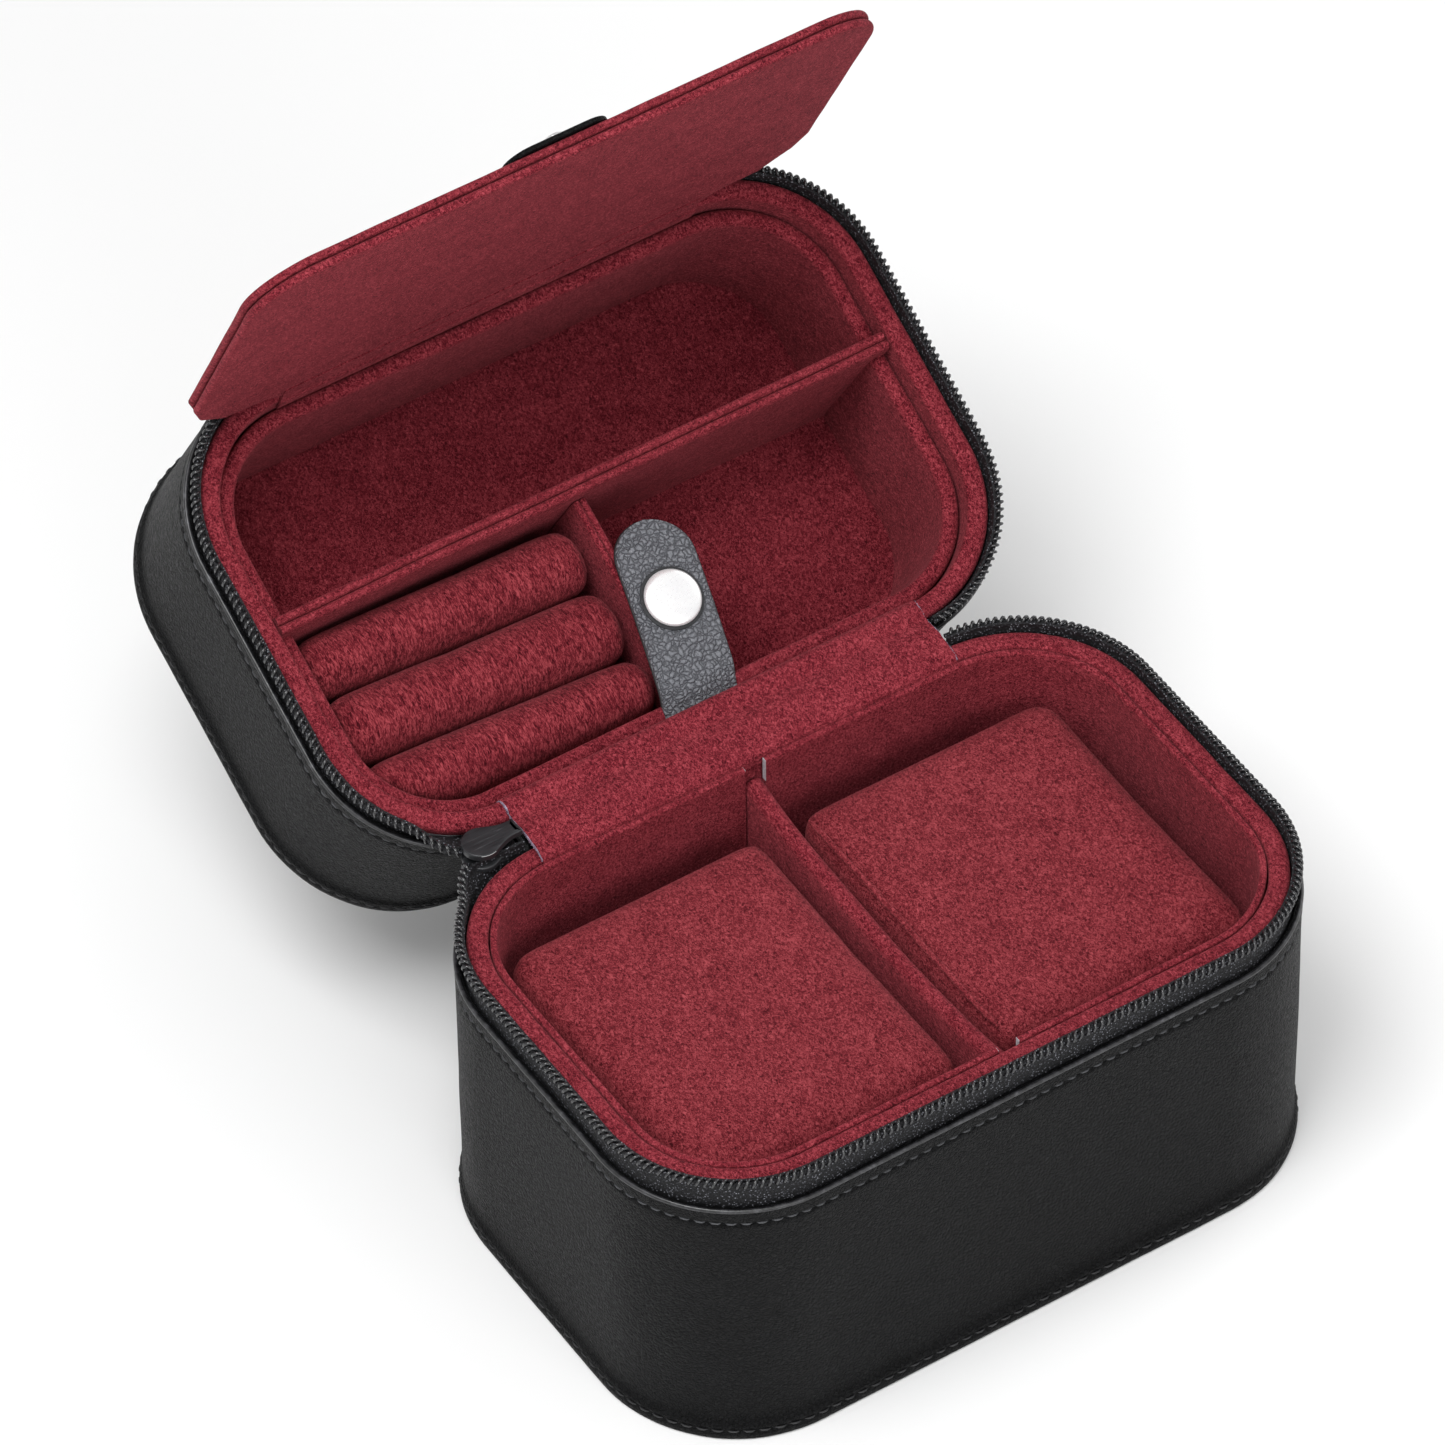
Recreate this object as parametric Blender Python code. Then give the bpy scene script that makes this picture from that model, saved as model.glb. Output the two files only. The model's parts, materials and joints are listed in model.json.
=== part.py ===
"""Travel jewelry case with a zip, built from its separate pieces.

Metres, +Z up. The origin is the centre of the underside, +X runs along the spine and +Y points to the
spine. The lid is modelled closed over the base and turned open on its pivot, and the flap and the strap
are modelled in the closed lid in the same way.
"""

import math
from collections import namedtuple

import bmesh
import bpy

# Driving dimensions of the whole case
CASE_WIDTH = 0.160
CASE_DEPTH = 0.106
CORNER_RADIUS = 0.031
BASE_HEIGHT = 0.068
LID_HEIGHT = 0.044
ZIP_PLANE = 0.0762
LID_EDGE = 0.0822
CORNER_STEPS = 7
GAP = 0.0003
OVERCUT = 0.010

# Rest pose, in degrees open from closed
LID_OPEN = 150.0
FLAP_OPEN = 93.0

# Joint axes, with the lid and the flap closed
LID_AXIS = (0.0, 0.0536, ZIP_PLANE)
FLAP_AXIS = (0.0, -0.0463, 0.0792)
STRAP_AXIS = (0.0006, 0.0443, 0.0827)
PULL_AXIS = (-0.0600, 0.0541, 0.0712)

# The layers of a wall, as insets from the outside
LEATHER = 0.0012
TAPE_OUTER = LEATHER + GAP
TAPE_INNER = TAPE_OUTER + 0.0006
BOARD_OUTER = TAPE_INNER + GAP
BOARD_INNER = BOARD_OUTER + 0.0016
LINER_OUTER = BOARD_INNER + GAP
LINER_INNER = LINER_OUTER + 0.0025
INSERT_OUTER = LINER_INNER + GAP
BASE_INSERT_THICK = 0.0015
LID_INSERT_THICK = 0.0036
INSERT_SOFT = 0.0004

# The layers of a floor, as depths from the outside
PANEL = 0.0015
BOARD_FLOOR = PANEL + GAP
PAD_UNDER = BOARD_FLOOR + 0.0015 + GAP
PAD_TOP = PAD_UNDER + 0.0020
CONTENT_FLOOR = PAD_TOP + GAP
SEAM_BAND = 0.0045
SEAM_SWELL = 0.0008

# The padded rim and the zip
RIM_HEAD = 0.0030
RIM_ROUND = 0.0008
COIL_SIZE = 0.0023
COIL_INSET = 0.0009
COIL_CLEAR = 0.00025
OCTAGON_CUT = 0.29
TAPE_HIDDEN = 0.012
SPINE_HALF = 0.0495
TAPE_START = math.degrees(math.asin(0.0015 / 0.0295))
SLIDER_SPAN = math.degrees(math.asin(0.0145 / 0.0301))

# A slot in an insert leaves this much above the floor for the divider's end
SLOT_FLOOR = CONTENT_FLOOR + 0.0022
SLOT_CLEAR = 0.0003

# Base contents
DIVIDER_THICK = 0.0038
DIVIDER_SOFT = 0.0012
BASE_DIVIDER_TOP = 0.0640
PILLOW_WIDTH = 0.0612
PILLOW_DEPTH = 0.0750
PILLOW_CENTRE = 0.0350
PILLOW_TOP = 0.0640
PILLOW_CORNER = 0.0130

# Lid contents, in the closed lid
CROSS_CENTRE = -0.0050
CROSS_THICK = 0.0040
CROSS_TOP = 0.0798
SHORT_CENTRE = -0.0015
SHORT_THICK = 0.0030
SHORT_SOFT = 0.0010
LOW_TOP = 0.0842
ROLL_COUNT = 3
ROLL_GAP = 0.0004
ROLL_DOME = 0.0060
ROLL_STEPS = 8

# Flap, strap and snap
FLAP_LENGTH = 0.0800
FLAP_HALF = 0.0730
FLAP_LAYER = 0.00175
FLAP_FREE_CORNER = 0.0140
PATCH_THICK = 0.0009
PATCH_HALF_WIDTH = 0.0120
PATCH_HALF_HEIGHT = 0.0085
PATCH_CORNER = 0.0055
PATCH_CENTRE = (-0.0020, 0.0722)
STUD_PROFILE = ((0.0020, 0.0021), (0.0024, 0.0016), (0.0020, 0.0008), (0.0048, 0.0006), (0.0048, 0.0))
STUD_FROM_AXIS = 0.0715
STRAP_LENGTH = 0.0380
STRAP_WIDTH = 0.0170
STRAP_THICK = 0.0018
STRAP_LEAN = math.radians(10.5)
SNAP_ON_STRAP = 0.0205

# The cloth that holds the flap, on the inner wall just under the flap's axis
HINGE_CLOTH = 0.0006
HINGE_CLOTH_HEIGHT = 0.0044

# The zip's slider, bail and pull
SLIDER_WIDE = (-0.0597, 0.0540)
SLIDER_WIDE_RADIUS = 0.0034
SLIDER_NARROW = (-0.0528, 0.0540)
SLIDER_NARROW_RADIUS = 0.0022
SLIDER_UPPER = (0.0760, 0.0776)
SLIDER_LOWER = (0.0726, 0.0739)
SLIDER_POST = (-0.0590, 0.0540)
SLIDER_POST_RADIUS = 0.0015
BAIL_LOW = 0.0694
BAIL_HIGH = 0.0723
BAIL_BAR = 0.0009
BAIL_HALF = 0.0030
BAIL_THICK = 0.0020
PULL_THICK = 0.0010
PULL_HALF = 0.0025
PULL_LENGTH = 0.0220
PULL_TIP = 0.0015
PULL_TIP_HALF = 0.0014
PULL_WINDOW_HALF = 0.0015
PULL_WINDOW = (-0.0045, -0.0005)

Half = namedtuple("Half", "name edge away height rim insert_top insert_inner")
BASE = Half("base", BASE_HEIGHT, -1, BASE_HEIGHT, -0.0055, -0.0016, INSERT_OUTER + BASE_INSERT_THICK)
LID = Half("lid", LID_EDGE, 1, LID_HEIGHT, -0.0027, 0.0020, INSERT_OUTER + LID_INSERT_THICK)


def clear_scene():
    for item in list(bpy.data.objects):
        bpy.data.objects.remove(item, do_unlink=True)


def level(half, depth):
    """Height of a point that lies so deep below the leather edge of a closed half."""
    return half.edge + half.away * depth


# Materials

def make_material(name, colour, roughness, metallic=0.0):
    material = bpy.data.materials.new(name)
    material.use_nodes = True
    shader = material.node_tree.nodes["Principled BSDF"]
    shader.inputs["Base Color"].default_value = (*colour, 1.0)
    shader.inputs["Roughness"].default_value = roughness
    shader.inputs["Metallic"].default_value = metallic
    material.diffuse_color = (*colour, 1.0)
    return material


def make_materials():
    return {
        "leather": make_material("black_leather", (0.018, 0.018, 0.020), 0.45),
        "suede": make_material("red_suede", (0.200, 0.022, 0.030), 0.95),
        "board": make_material("grey_board", (0.250, 0.240, 0.220), 0.85),
        "tape": make_material("zip_tape", (0.012, 0.012, 0.014), 0.90),
        "coil": make_material("zip_nylon", (0.015, 0.015, 0.017), 0.30),
        "slider": make_material("slider_metal", (0.020, 0.020, 0.022), 0.35, 0.8),
        "strap": make_material("grey_leather", (0.070, 0.075, 0.085), 0.50),
        "chrome": make_material("bright_metal", (0.800, 0.800, 0.820), 0.15, 1.0),
    }


# Outlines and routes

def arc(centre, radius, start, end, steps):
    """Points on a circle from one angle to another, in degrees."""
    points = []
    for i in range(steps + 1):
        angle = math.radians(start + (end - start) * i / steps)
        points.append((centre[0] + radius * math.cos(angle), centre[1] + radius * math.sin(angle)))
    return points


def rounded_rectangle(half_width, half_depth, radius):
    """Anticlockwise points of a rounded rectangle."""
    x = half_width - radius
    y = half_depth - radius
    points = []
    for centre, start in (((x, y), 0), ((-x, y), 90), ((-x, -y), 180), ((x, -y), 270)):
        points += arc(centre, radius, start, start + 90, CORNER_STEPS)
    return points


def case_outline(inset):
    return rounded_rectangle(CASE_WIDTH / 2 - inset, CASE_DEPTH / 2 - inset, CORNER_RADIUS - inset)


def zip_route(inset, skipped):
    """The outline from the left end of the spine round the front to its right end.

    The route leaves out so many degrees of the left back corner.
    """
    x = CASE_WIDTH / 2 - CORNER_RADIUS
    y = CASE_DEPTH / 2 - CORNER_RADIUS
    radius = CORNER_RADIUS - inset
    points = arc((-x, y), radius, 90 + skipped, 180, CORNER_STEPS)
    points += arc((-x, -y), radius, 180, 270, CORNER_STEPS)
    points += arc((x, -y), radius, 270, 360, CORNER_STEPS)
    points += arc((x, y), radius, 0, 90 - TAPE_START, CORNER_STEPS)
    return points


# Solids

def join_rings(bm, rings, closed):
    """Quads between neighbouring rings of vertices, with flat ends where the row is open."""
    count = len(rings)
    for i in range(count if closed else count - 1):
        near = rings[i]
        far = rings[(i + 1) % count]
        for j in range(len(near)):
            k = (j + 1) % len(near)
            bm.faces.new((near[j], near[k], far[k], far[j]))
    if not closed:
        bm.faces.new(rings[0][::-1])
        bm.faces.new(rings[-1])


def swept(route, profile, half, closed):
    """A profile of (inset, depth) points carried along a route that depends on the inset."""
    bm = bmesh.new()
    lines = [route(inset) for inset, _ in profile]
    rings = []
    for place in range(len(lines[0])):
        ring = []
        for line, (_, depth) in zip(lines, profile):
            ring.append(bm.verts.new((*line[place], level(half, depth))))
        rings.append(ring)
    join_rings(bm, rings, closed)
    return bm


def stacked(layers):
    """A solid through outlines at given heights, from (outline, z) pairs."""
    bm = bmesh.new()
    rings = [[bm.verts.new((x, y, z)) for x, y in outline] for outline, z in layers]
    join_rings(bm, rings, False)
    return bm


def extruded_along_x(section, x_low, x_high):
    """A (y, z) section between two x values."""
    bm = bmesh.new()
    rings = [[bm.verts.new((x, y, z)) for y, z in section] for x in (x_low, x_high)]
    join_rings(bm, rings, False)
    return bm


def extruded_along_y(section, y_low, y_high):
    """An (x, z) section between two y values."""
    bm = bmesh.new()
    rings = [[bm.verts.new((x, y, z)) for x, z in section] for y in (y_low, y_high)]
    join_rings(bm, rings, False)
    return bm


def box(low, high):
    corners = [(low[0], low[1]), (high[0], low[1]), (high[0], high[1]), (low[0], high[1])]
    return stacked([(corners, low[2]), (corners, high[2])])


def turned(centre, rows, steps):
    """A round solid about a vertical axis, from (radius, z) rows."""
    return stacked([(arc(centre, radius, 0, 360, steps)[:-1], z) for radius, z in rows])


def ribbon(line, thick):
    """A (y, z) section of constant thickness along a line of points."""
    left = []
    right = []
    for i, (y, z) in enumerate(line):
        before = line[max(i - 1, 0)]
        after = line[min(i + 1, len(line) - 1)]
        along = math.hypot(after[0] - before[0], after[1] - before[1])
        side = (-(after[1] - before[1]) / along * thick / 2, (after[0] - before[0]) / along * thick / 2)
        left.append((y + side[0], z + side[1]))
        right.append((y - side[0], z - side[1]))
    return left + right[::-1]


# Objects

def add_object(name, bm, material, parent=None, origin=(0.0, 0.0, 0.0)):
    """A named object whose own origin lies at a point of the closed case."""
    bmesh.ops.recalc_face_normals(bm, faces=bm.faces)
    bmesh.ops.translate(bm, verts=bm.verts, vec=[-value for value in origin])
    mesh = bpy.data.meshes.new(name)
    bm.to_mesh(mesh)
    bm.free()
    mesh.shade_smooth()
    mesh.set_sharp_from_angle(angle=math.radians(40))
    item = bpy.data.objects.new(name, mesh)
    bpy.context.collection.objects.link(item)
    mesh.materials.append(material)
    item.parent = parent
    if parent is None:
        item.location = origin
    return item


def add_pivot(name, axis, turn, parent=None, parent_axis=(0.0, 0.0, 0.0)):
    """An empty on a joint's axis, turned open by so many degrees."""
    pivot = bpy.data.objects.new(name, None)
    bpy.context.collection.objects.link(pivot)
    pivot.parent = parent
    pivot.location = [a - b for a, b in zip(axis, parent_axis)]
    pivot.rotation_euler = (math.radians(-turn), 0.0, 0.0)
    return pivot


def add_cutter(name, bm, parent=None, origin=(0.0, 0.0, 0.0)):
    """A hidden guide for a Boolean."""
    cutter = add_object(name, bm, bpy.data.materials["grey_board"], parent, origin)
    cutter.hide_render = True
    cutter.display_type = "WIRE"
    return cutter


def add_boolean(item, cutter, operation):
    modifier = item.modifiers.new(cutter.name, "BOOLEAN")
    modifier.operation = operation
    modifier.solver = "EXACT"
    modifier.object = cutter


# The layers that the base and the lid share

def add_leather_wall(half, material, parent, origin):
    swell_start = half.height - SEAM_BAND
    profile = [
        (0.0004, 0.0),
        (0.0, 0.0005),
        (0.0, swell_start),
        (-SEAM_SWELL, swell_start + SEAM_SWELL),
        (-SEAM_SWELL, half.height - SEAM_SWELL),
        (0.0, half.height),
        (LEATHER, half.height),
        (LEATHER, 0.0),
    ]
    wall = swept(case_outline, profile, half, True)
    add_object(half.name + "_leather_wall", wall, material, parent, origin)


def add_panel(half, name, material, parent, origin):
    outline = case_outline(LEATHER + GAP)
    layers = [(outline, level(half, half.height)), (outline, level(half, half.height - PANEL))]
    add_object(name, stacked(layers), material, parent, origin)


def add_board(half, material, parent, origin):
    top = half.rim + RIM_HEAD + GAP
    layers = [
        (case_outline(BOARD_OUTER), level(half, half.height - BOARD_FLOOR)),
        (case_outline(BOARD_OUTER), level(half, top)),
        (case_outline(BOARD_INNER), level(half, top)),
        (case_outline(BOARD_INNER), level(half, half.height - PAD_UNDER + GAP)),
    ]
    add_object(half.name + "_board", stacked(layers), material, parent, origin)


def coil_tip(half):
    """Depth of the coil's free edge, just short of the plane where the coils meet."""
    return COIL_CLEAR - abs(ZIP_PLANE - half.edge)


def add_zip_side(half, materials, parent, origin):
    tip = coil_tip(half)
    cut = COIL_SIZE * OCTAGON_CUT
    outer = COIL_INSET - COIL_SIZE / 2
    inner = COIL_INSET + COIL_SIZE / 2
    coil = [
        (outer + cut, tip),
        (inner - cut, tip),
        (inner, tip + cut),
        (inner, tip + COIL_SIZE - cut),
        (inner - cut, tip + COIL_SIZE),
        (outer + cut, tip + COIL_SIZE),
        (outer, tip + COIL_SIZE - cut),
        (outer, tip + cut),
    ]
    body = swept(lambda inset: zip_route(inset, SLIDER_SPAN), coil, half, False)
    add_object(half.name + "_zip_coil", body, materials["coil"], parent, origin)
    top = tip + COIL_SIZE + GAP
    tape = [(TAPE_OUTER, top), (TAPE_INNER, top), (TAPE_INNER, TAPE_HIDDEN), (TAPE_OUTER, TAPE_HIDDEN)]
    body = swept(lambda inset: zip_route(inset, TAPE_START), tape, half, False)
    add_object(half.name + "_zip_tape", body, materials["tape"], parent, origin)


def add_liner(half, material, parent, origin):
    top = half.rim
    foot = half.height - PAD_UNDER
    profile = [
        (LINER_OUTER, foot),
        (LINER_OUTER, top + RIM_HEAD),
        (BOARD_OUTER, top + RIM_HEAD),
        (BOARD_OUTER, top + RIM_ROUND),
        (BOARD_OUTER + RIM_ROUND, top),
        (LINER_INNER - RIM_ROUND, top),
        (LINER_INNER, top + RIM_ROUND),
        (LINER_INNER, foot),
    ]
    add_object(half.name + "_liner", swept(case_outline, profile, half, True), material, parent, origin)


def add_floor_pad(half, material, parent, origin):
    outline = case_outline(INSERT_OUTER)
    layers = [(outline, level(half, half.height - PAD_UNDER)), (outline, level(half, half.height - PAD_TOP))]
    add_object(half.name + "_floor_pad", stacked(layers), material, parent, origin)


def add_insert(half, slot, material, parent, origin):
    """The inner wall that holds the dividers, with a slot at each end of the long one."""
    top = half.insert_top
    foot = half.height - CONTENT_FLOOR
    profile = [
        (INSERT_OUTER, foot),
        (INSERT_OUTER, top + INSERT_SOFT),
        (INSERT_OUTER + INSERT_SOFT, top),
        (half.insert_inner - INSERT_SOFT, top),
        (half.insert_inner, top + INSERT_SOFT),
        (half.insert_inner, foot),
    ]
    wall = swept(case_outline, profile, half, True)
    insert = add_object(half.name + "_insert", wall, material, parent, origin)
    ends = sorted((level(half, top - OVERCUT), level(half, half.height - SLOT_FLOOR)))
    low = (slot[0][0], slot[0][1], ends[0])
    high = (slot[1][0], slot[1][1], ends[1])
    cutter = add_cutter(half.name + "_slot_guide", box(low, high), parent, origin)
    add_boolean(insert, cutter, "DIFFERENCE")


def add_half(half, panel_name, slot, materials, parent=None, origin=(0.0, 0.0, 0.0)):
    add_leather_wall(half, materials["leather"], parent, origin)
    add_panel(half, panel_name, materials["leather"], parent, origin)
    add_board(half, materials["board"], parent, origin)
    add_zip_side(half, materials, parent, origin)
    add_liner(half, materials["suede"], parent, origin)
    add_floor_pad(half, materials["suede"], parent, origin)
    add_insert(half, slot, materials["suede"], parent, origin)


# Base contents

def plan(low, high, inset=0.0):
    """The four corners of a box seen from above, moved in by so much."""
    return [
        (low[0] + inset, low[1] + inset),
        (high[0] - inset, low[1] + inset),
        (high[0] - inset, high[1] - inset),
        (low[0] + inset, high[1] - inset),
    ]


def softened_box(low, high, soft, soft_side):
    """A box whose edges are bevelled on its lower side, -1, or its upper side, 1."""
    full = plan(low, high)
    reduced = plan(low, high, soft)
    if soft_side > 0:
        return stacked([(full, low[2]), (full, high[2] - soft), (reduced, high[2])])
    return stacked([(reduced, low[2]), (full, low[2] + soft), (full, high[2])])


def add_base_divider(material):
    reach = CASE_DEPTH / 2 - INSERT_OUTER - GAP
    low = (-DIVIDER_THICK / 2, -reach, SLOT_FLOOR + GAP)
    high = (DIVIDER_THICK / 2, reach, BASE_DIVIDER_TOP)
    add_object("center_divider", softened_box(low, high, DIVIDER_SOFT, 1), material)


def pillow_outline(shrink):
    return rounded_rectangle(
        PILLOW_WIDTH / 2 - shrink, PILLOW_DEPTH / 2 - shrink, PILLOW_CORNER - shrink * 0.6
    )


def add_pillow(name, side, material):
    """A watch pillow with a rounded crown and foot."""
    height = PILLOW_TOP - CONTENT_FLOOR
    rows = [
        (0.0060, 0.0),
        (0.0018, 0.0018),
        (0.0, 0.0060),
        (0.0, height - 0.0085),
        (0.0010, height - 0.0050),
        (0.0034, height - 0.0025),
        (0.0080, height - 0.0008),
        (0.0150, height),
    ]
    pillow = add_object(name, stacked([(pillow_outline(shrink), z) for shrink, z in rows]), material)
    pillow.location = (side * PILLOW_CENTRE, 0.0, CONTENT_FLOOR)


# Lid contents

def add_cross_divider(material, parent):
    reach = CASE_WIDTH / 2 - INSERT_OUTER - GAP
    deep = level(LID, LID.height - SLOT_FLOOR - GAP)
    low = (-reach, CROSS_CENTRE - CROSS_THICK / 2, CROSS_TOP)
    high = (reach, CROSS_CENTRE + CROSS_THICK / 2, deep)
    add_object("cross_divider", softened_box(low, high, DIVIDER_SOFT, -1), material, parent, LID_AXIS)


def add_short_divider(material, parent):
    deep = level(LID, LID.height - CONTENT_FLOOR)
    low = (SHORT_CENTRE - SHORT_THICK / 2, CROSS_CENTRE + CROSS_THICK / 2 + GAP, LOW_TOP)
    high = (SHORT_CENTRE + SHORT_THICK / 2, CASE_DEPTH / 2 - LID.insert_inner - GAP, deep)
    add_object("short_divider", softened_box(low, high, SHORT_SOFT, -1), material, parent, LID_AXIS)


def roll_section(y_low, y_high, z_top, z_deep):
    """A block with one domed side, towards the lid's mouth."""
    middle = (y_low + y_high) / 2
    half = (y_high - y_low) / 2
    section = [(y_high, z_deep), (y_low, z_deep)]
    for i in range(ROLL_STEPS + 1):
        angle = math.pi * i / ROLL_STEPS
        section.append((middle - half * math.cos(angle), z_top + ROLL_DOME * (1 - math.sin(angle))))
    return section


def add_ring_rolls(material, parent):
    """Padded rolls side by side, cut to the rounded corner of the lid's insert."""
    first = CROSS_CENTRE + CROSS_THICK / 2 + ROLL_GAP
    last = CASE_DEPTH / 2 - LID.insert_inner - ROLL_GAP
    pitch = (last - first + ROLL_GAP) / ROLL_COUNT
    x_low = -(CASE_WIDTH / 2 - LID.insert_inner)
    x_high = SHORT_CENTRE - SHORT_THICK / 2 - ROLL_GAP
    z_deep = level(LID, LID.height - CONTENT_FLOOR)
    room = case_outline(LID.insert_inner + ROLL_GAP)
    body = stacked([(room, LOW_TOP - OVERCUT), (room, z_deep + OVERCUT)])
    guide = add_cutter("roll_room_guide", body, parent, LID_AXIS)
    for i in range(ROLL_COUNT):
        y_low = first + i * pitch
        section = roll_section(y_low, y_low + pitch - ROLL_GAP, LOW_TOP, z_deep)
        body = extruded_along_x(section, x_low, x_high)
        roll = add_object(f"ring_roll_{i + 1}", body, material, parent, LID_AXIS)
        add_boolean(roll, guide, "INTERSECT")


# Flap

def flap_outline():
    """The flap seen flat: x across, y from the hinge, narrower where it passes the zip's corners."""
    radius = FLAP_FREE_CORNER
    right = [(0.0500, 0.0010), (0.0540, 0.0036), (0.0640, 0.0043), (0.0705, 0.0100), (FLAP_HALF, 0.0160)]
    right += arc((FLAP_HALF - radius, FLAP_LENGTH - radius), radius, 0, 90, CORNER_STEPS)
    left = [(-x, y) for x, y in right]
    return right + left[::-1]


def in_flap(outline):
    """Moves a flat outline into the closed lid."""
    return [(x + FLAP_AXIS[0], y + FLAP_AXIS[1]) for x, y in outline]


def add_flap(materials, parent):
    outline = in_flap(flap_outline())
    inner_face = FLAP_AXIS[2]
    seam = inner_face - FLAP_LAYER
    outer = seam - GAP
    outer_face = outer - FLAP_LAYER
    body = stacked([(outline, seam), (outline, inner_face)])
    add_object("flap_inner_panel", body, materials["suede"], parent, FLAP_AXIS)
    body = stacked([(outline, outer_face), (outline, outer)])
    add_object("flap_outer_panel", body, materials["suede"], parent, FLAP_AXIS)
    add_flap_snap(outer_face, materials, parent)


def add_flap_snap(outer_face, materials, parent):
    patch = rounded_rectangle(PATCH_HALF_WIDTH, PATCH_HALF_HEIGHT, PATCH_CORNER)
    patch = in_flap([(x + PATCH_CENTRE[0], y + PATCH_CENTRE[1]) for x, y in patch])
    near = outer_face - GAP
    far = near - PATCH_THICK
    body = stacked([(patch, far), (patch, near)])
    add_object("flap_snap_patch", body, materials["leather"], parent, FLAP_AXIS)
    centre = in_flap([(0.0, STUD_FROM_AXIS)])[0]
    top = far - GAP
    rows = [(radius, top - depth) for radius, depth in STUD_PROFILE]
    add_object("flap_snap_stud", turned(centre, rows, 16), materials["chrome"], parent, FLAP_AXIS)


def add_flap_hinge_strip(material, parent):
    """The strip of lining that the flap is sewn to, on the lid's far wall."""
    wall = LINER_INNER - CASE_DEPTH / 2 + GAP
    top = FLAP_AXIS[2] + GAP
    low = (-SPINE_HALF, wall, top)
    high = (SPINE_HALF, wall + HINGE_CLOTH, top + HINGE_CLOTH_HEIGHT)
    add_object("flap_hinge_strip", box(low, high), material, parent, LID_AXIS)


# Strap

def strap_point(along, across):
    """A point on the leaning strap, seen flat."""
    x = STRAP_AXIS[0] + along * math.sin(STRAP_LEAN) + across * math.cos(STRAP_LEAN)
    y = STRAP_AXIS[1] - along * math.cos(STRAP_LEAN) + across * math.sin(STRAP_LEAN)
    return x, y


def strap_outline():
    """The strap seen flat, with its root along the axis and a round tip."""
    half = STRAP_WIDTH / 2
    straight = STRAP_LENGTH - half
    slant = half * math.tan(STRAP_LEAN)
    points = [strap_point(slant, half), strap_point(-slant, -half)]
    for x, y in arc((0.0, 0.0), half, -90, 90, 12):
        points.append(strap_point(straight + x, y))
    return points[::-1]


def add_strap(materials, parent):
    outline = strap_outline()
    face = STRAP_AXIS[2] - STRAP_THICK / 2
    back = STRAP_AXIS[2] + STRAP_THICK / 2
    add_object("strap", stacked([(outline, face), (outline, back)]), materials["strap"], parent, STRAP_AXIS)
    centre = strap_point(SNAP_ON_STRAP, 0.0)
    rim = face - GAP
    cap = [(0.0042, rim - 0.0014), (0.0056, rim - 0.0010), (0.0061, rim - 0.0004), (0.0061, rim)]
    add_object("strap_snap_cap", turned(centre, cap, 24), materials["chrome"], parent, STRAP_AXIS)
    foot = back + GAP
    socket = [(0.0044, foot), (0.0044, foot + 0.0008), (0.0034, foot + 0.0013)]
    add_object("strap_snap_socket", turned(centre, socket, 16), materials["chrome"], parent, STRAP_AXIS)


# Spine

def opened(point):
    """Where a (y, z) point of the closed lid lies when the lid is open."""
    turn = math.radians(-LID_OPEN)
    y = point[0] - LID_AXIS[1]
    z = point[1] - LID_AXIS[2]
    return (
        LID_AXIS[1] + y * math.cos(turn) - z * math.sin(turn),
        LID_AXIS[2] + y * math.sin(turn) + z * math.cos(turn),
    )


def add_spine(materials):
    """The two cloths that join the halves: lining inside, leather outside, tucked into both walls."""
    slot = CASE_DEPTH / 2 - (LEATHER + BOARD_OUTER) / 2
    base_side = [(slot, 0.0580), (slot, 0.0695), (slot + 0.0005, 0.0718), (0.0530, 0.0736)]
    lid_side = [(0.0530, 0.0784), (slot + 0.0005, 0.0794), (slot, 0.0807), (slot, 0.0920)]
    line = base_side + [opened(point) for point in lid_side]
    body = extruded_along_x(ribbon(line, 0.0006), -SPINE_HALF, SPINE_HALF)
    add_object("spine_cover", body, materials["leather"])
    base_side = [(0.0469, 0.07435), (0.0506, 0.0746), (0.0537, 0.0756)]
    lid_side = [(0.0505, 0.0784), (0.0469, 0.0784)]
    line = base_side + [opened(point) for point in lid_side]
    body = extruded_along_x(ribbon(line, 0.0008), -SPINE_HALF, SPINE_HALF)
    add_object("spine_lining", body, materials["suede"])


# Zip slider and pull

def slider_outline():
    """A shield, wide towards the open zip and narrow towards the spine."""
    wide = arc(SLIDER_WIDE, SLIDER_WIDE_RADIUS, 90, 270, 8)
    narrow = arc(SLIDER_NARROW, SLIDER_NARROW_RADIUS, -90, 90, 6)
    return wide + narrow


def add_slider(material):
    """Two plates joined by a post between them."""
    outline = slider_outline()
    upper = add_object("zip_slider", stacked([(outline, z) for z in SLIDER_UPPER]), material)
    lower = add_cutter("slider_lower_guide", stacked([(outline, z) for z in SLIDER_LOWER]))
    rows = [(SLIDER_POST_RADIUS, sum(plate) / 2) for plate in (SLIDER_LOWER, SLIDER_UPPER)]
    post = add_cutter("slider_post_guide", turned(SLIDER_POST, rows, 8))
    add_boolean(upper, post, "UNION")
    add_boolean(upper, lower, "UNION")


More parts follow.
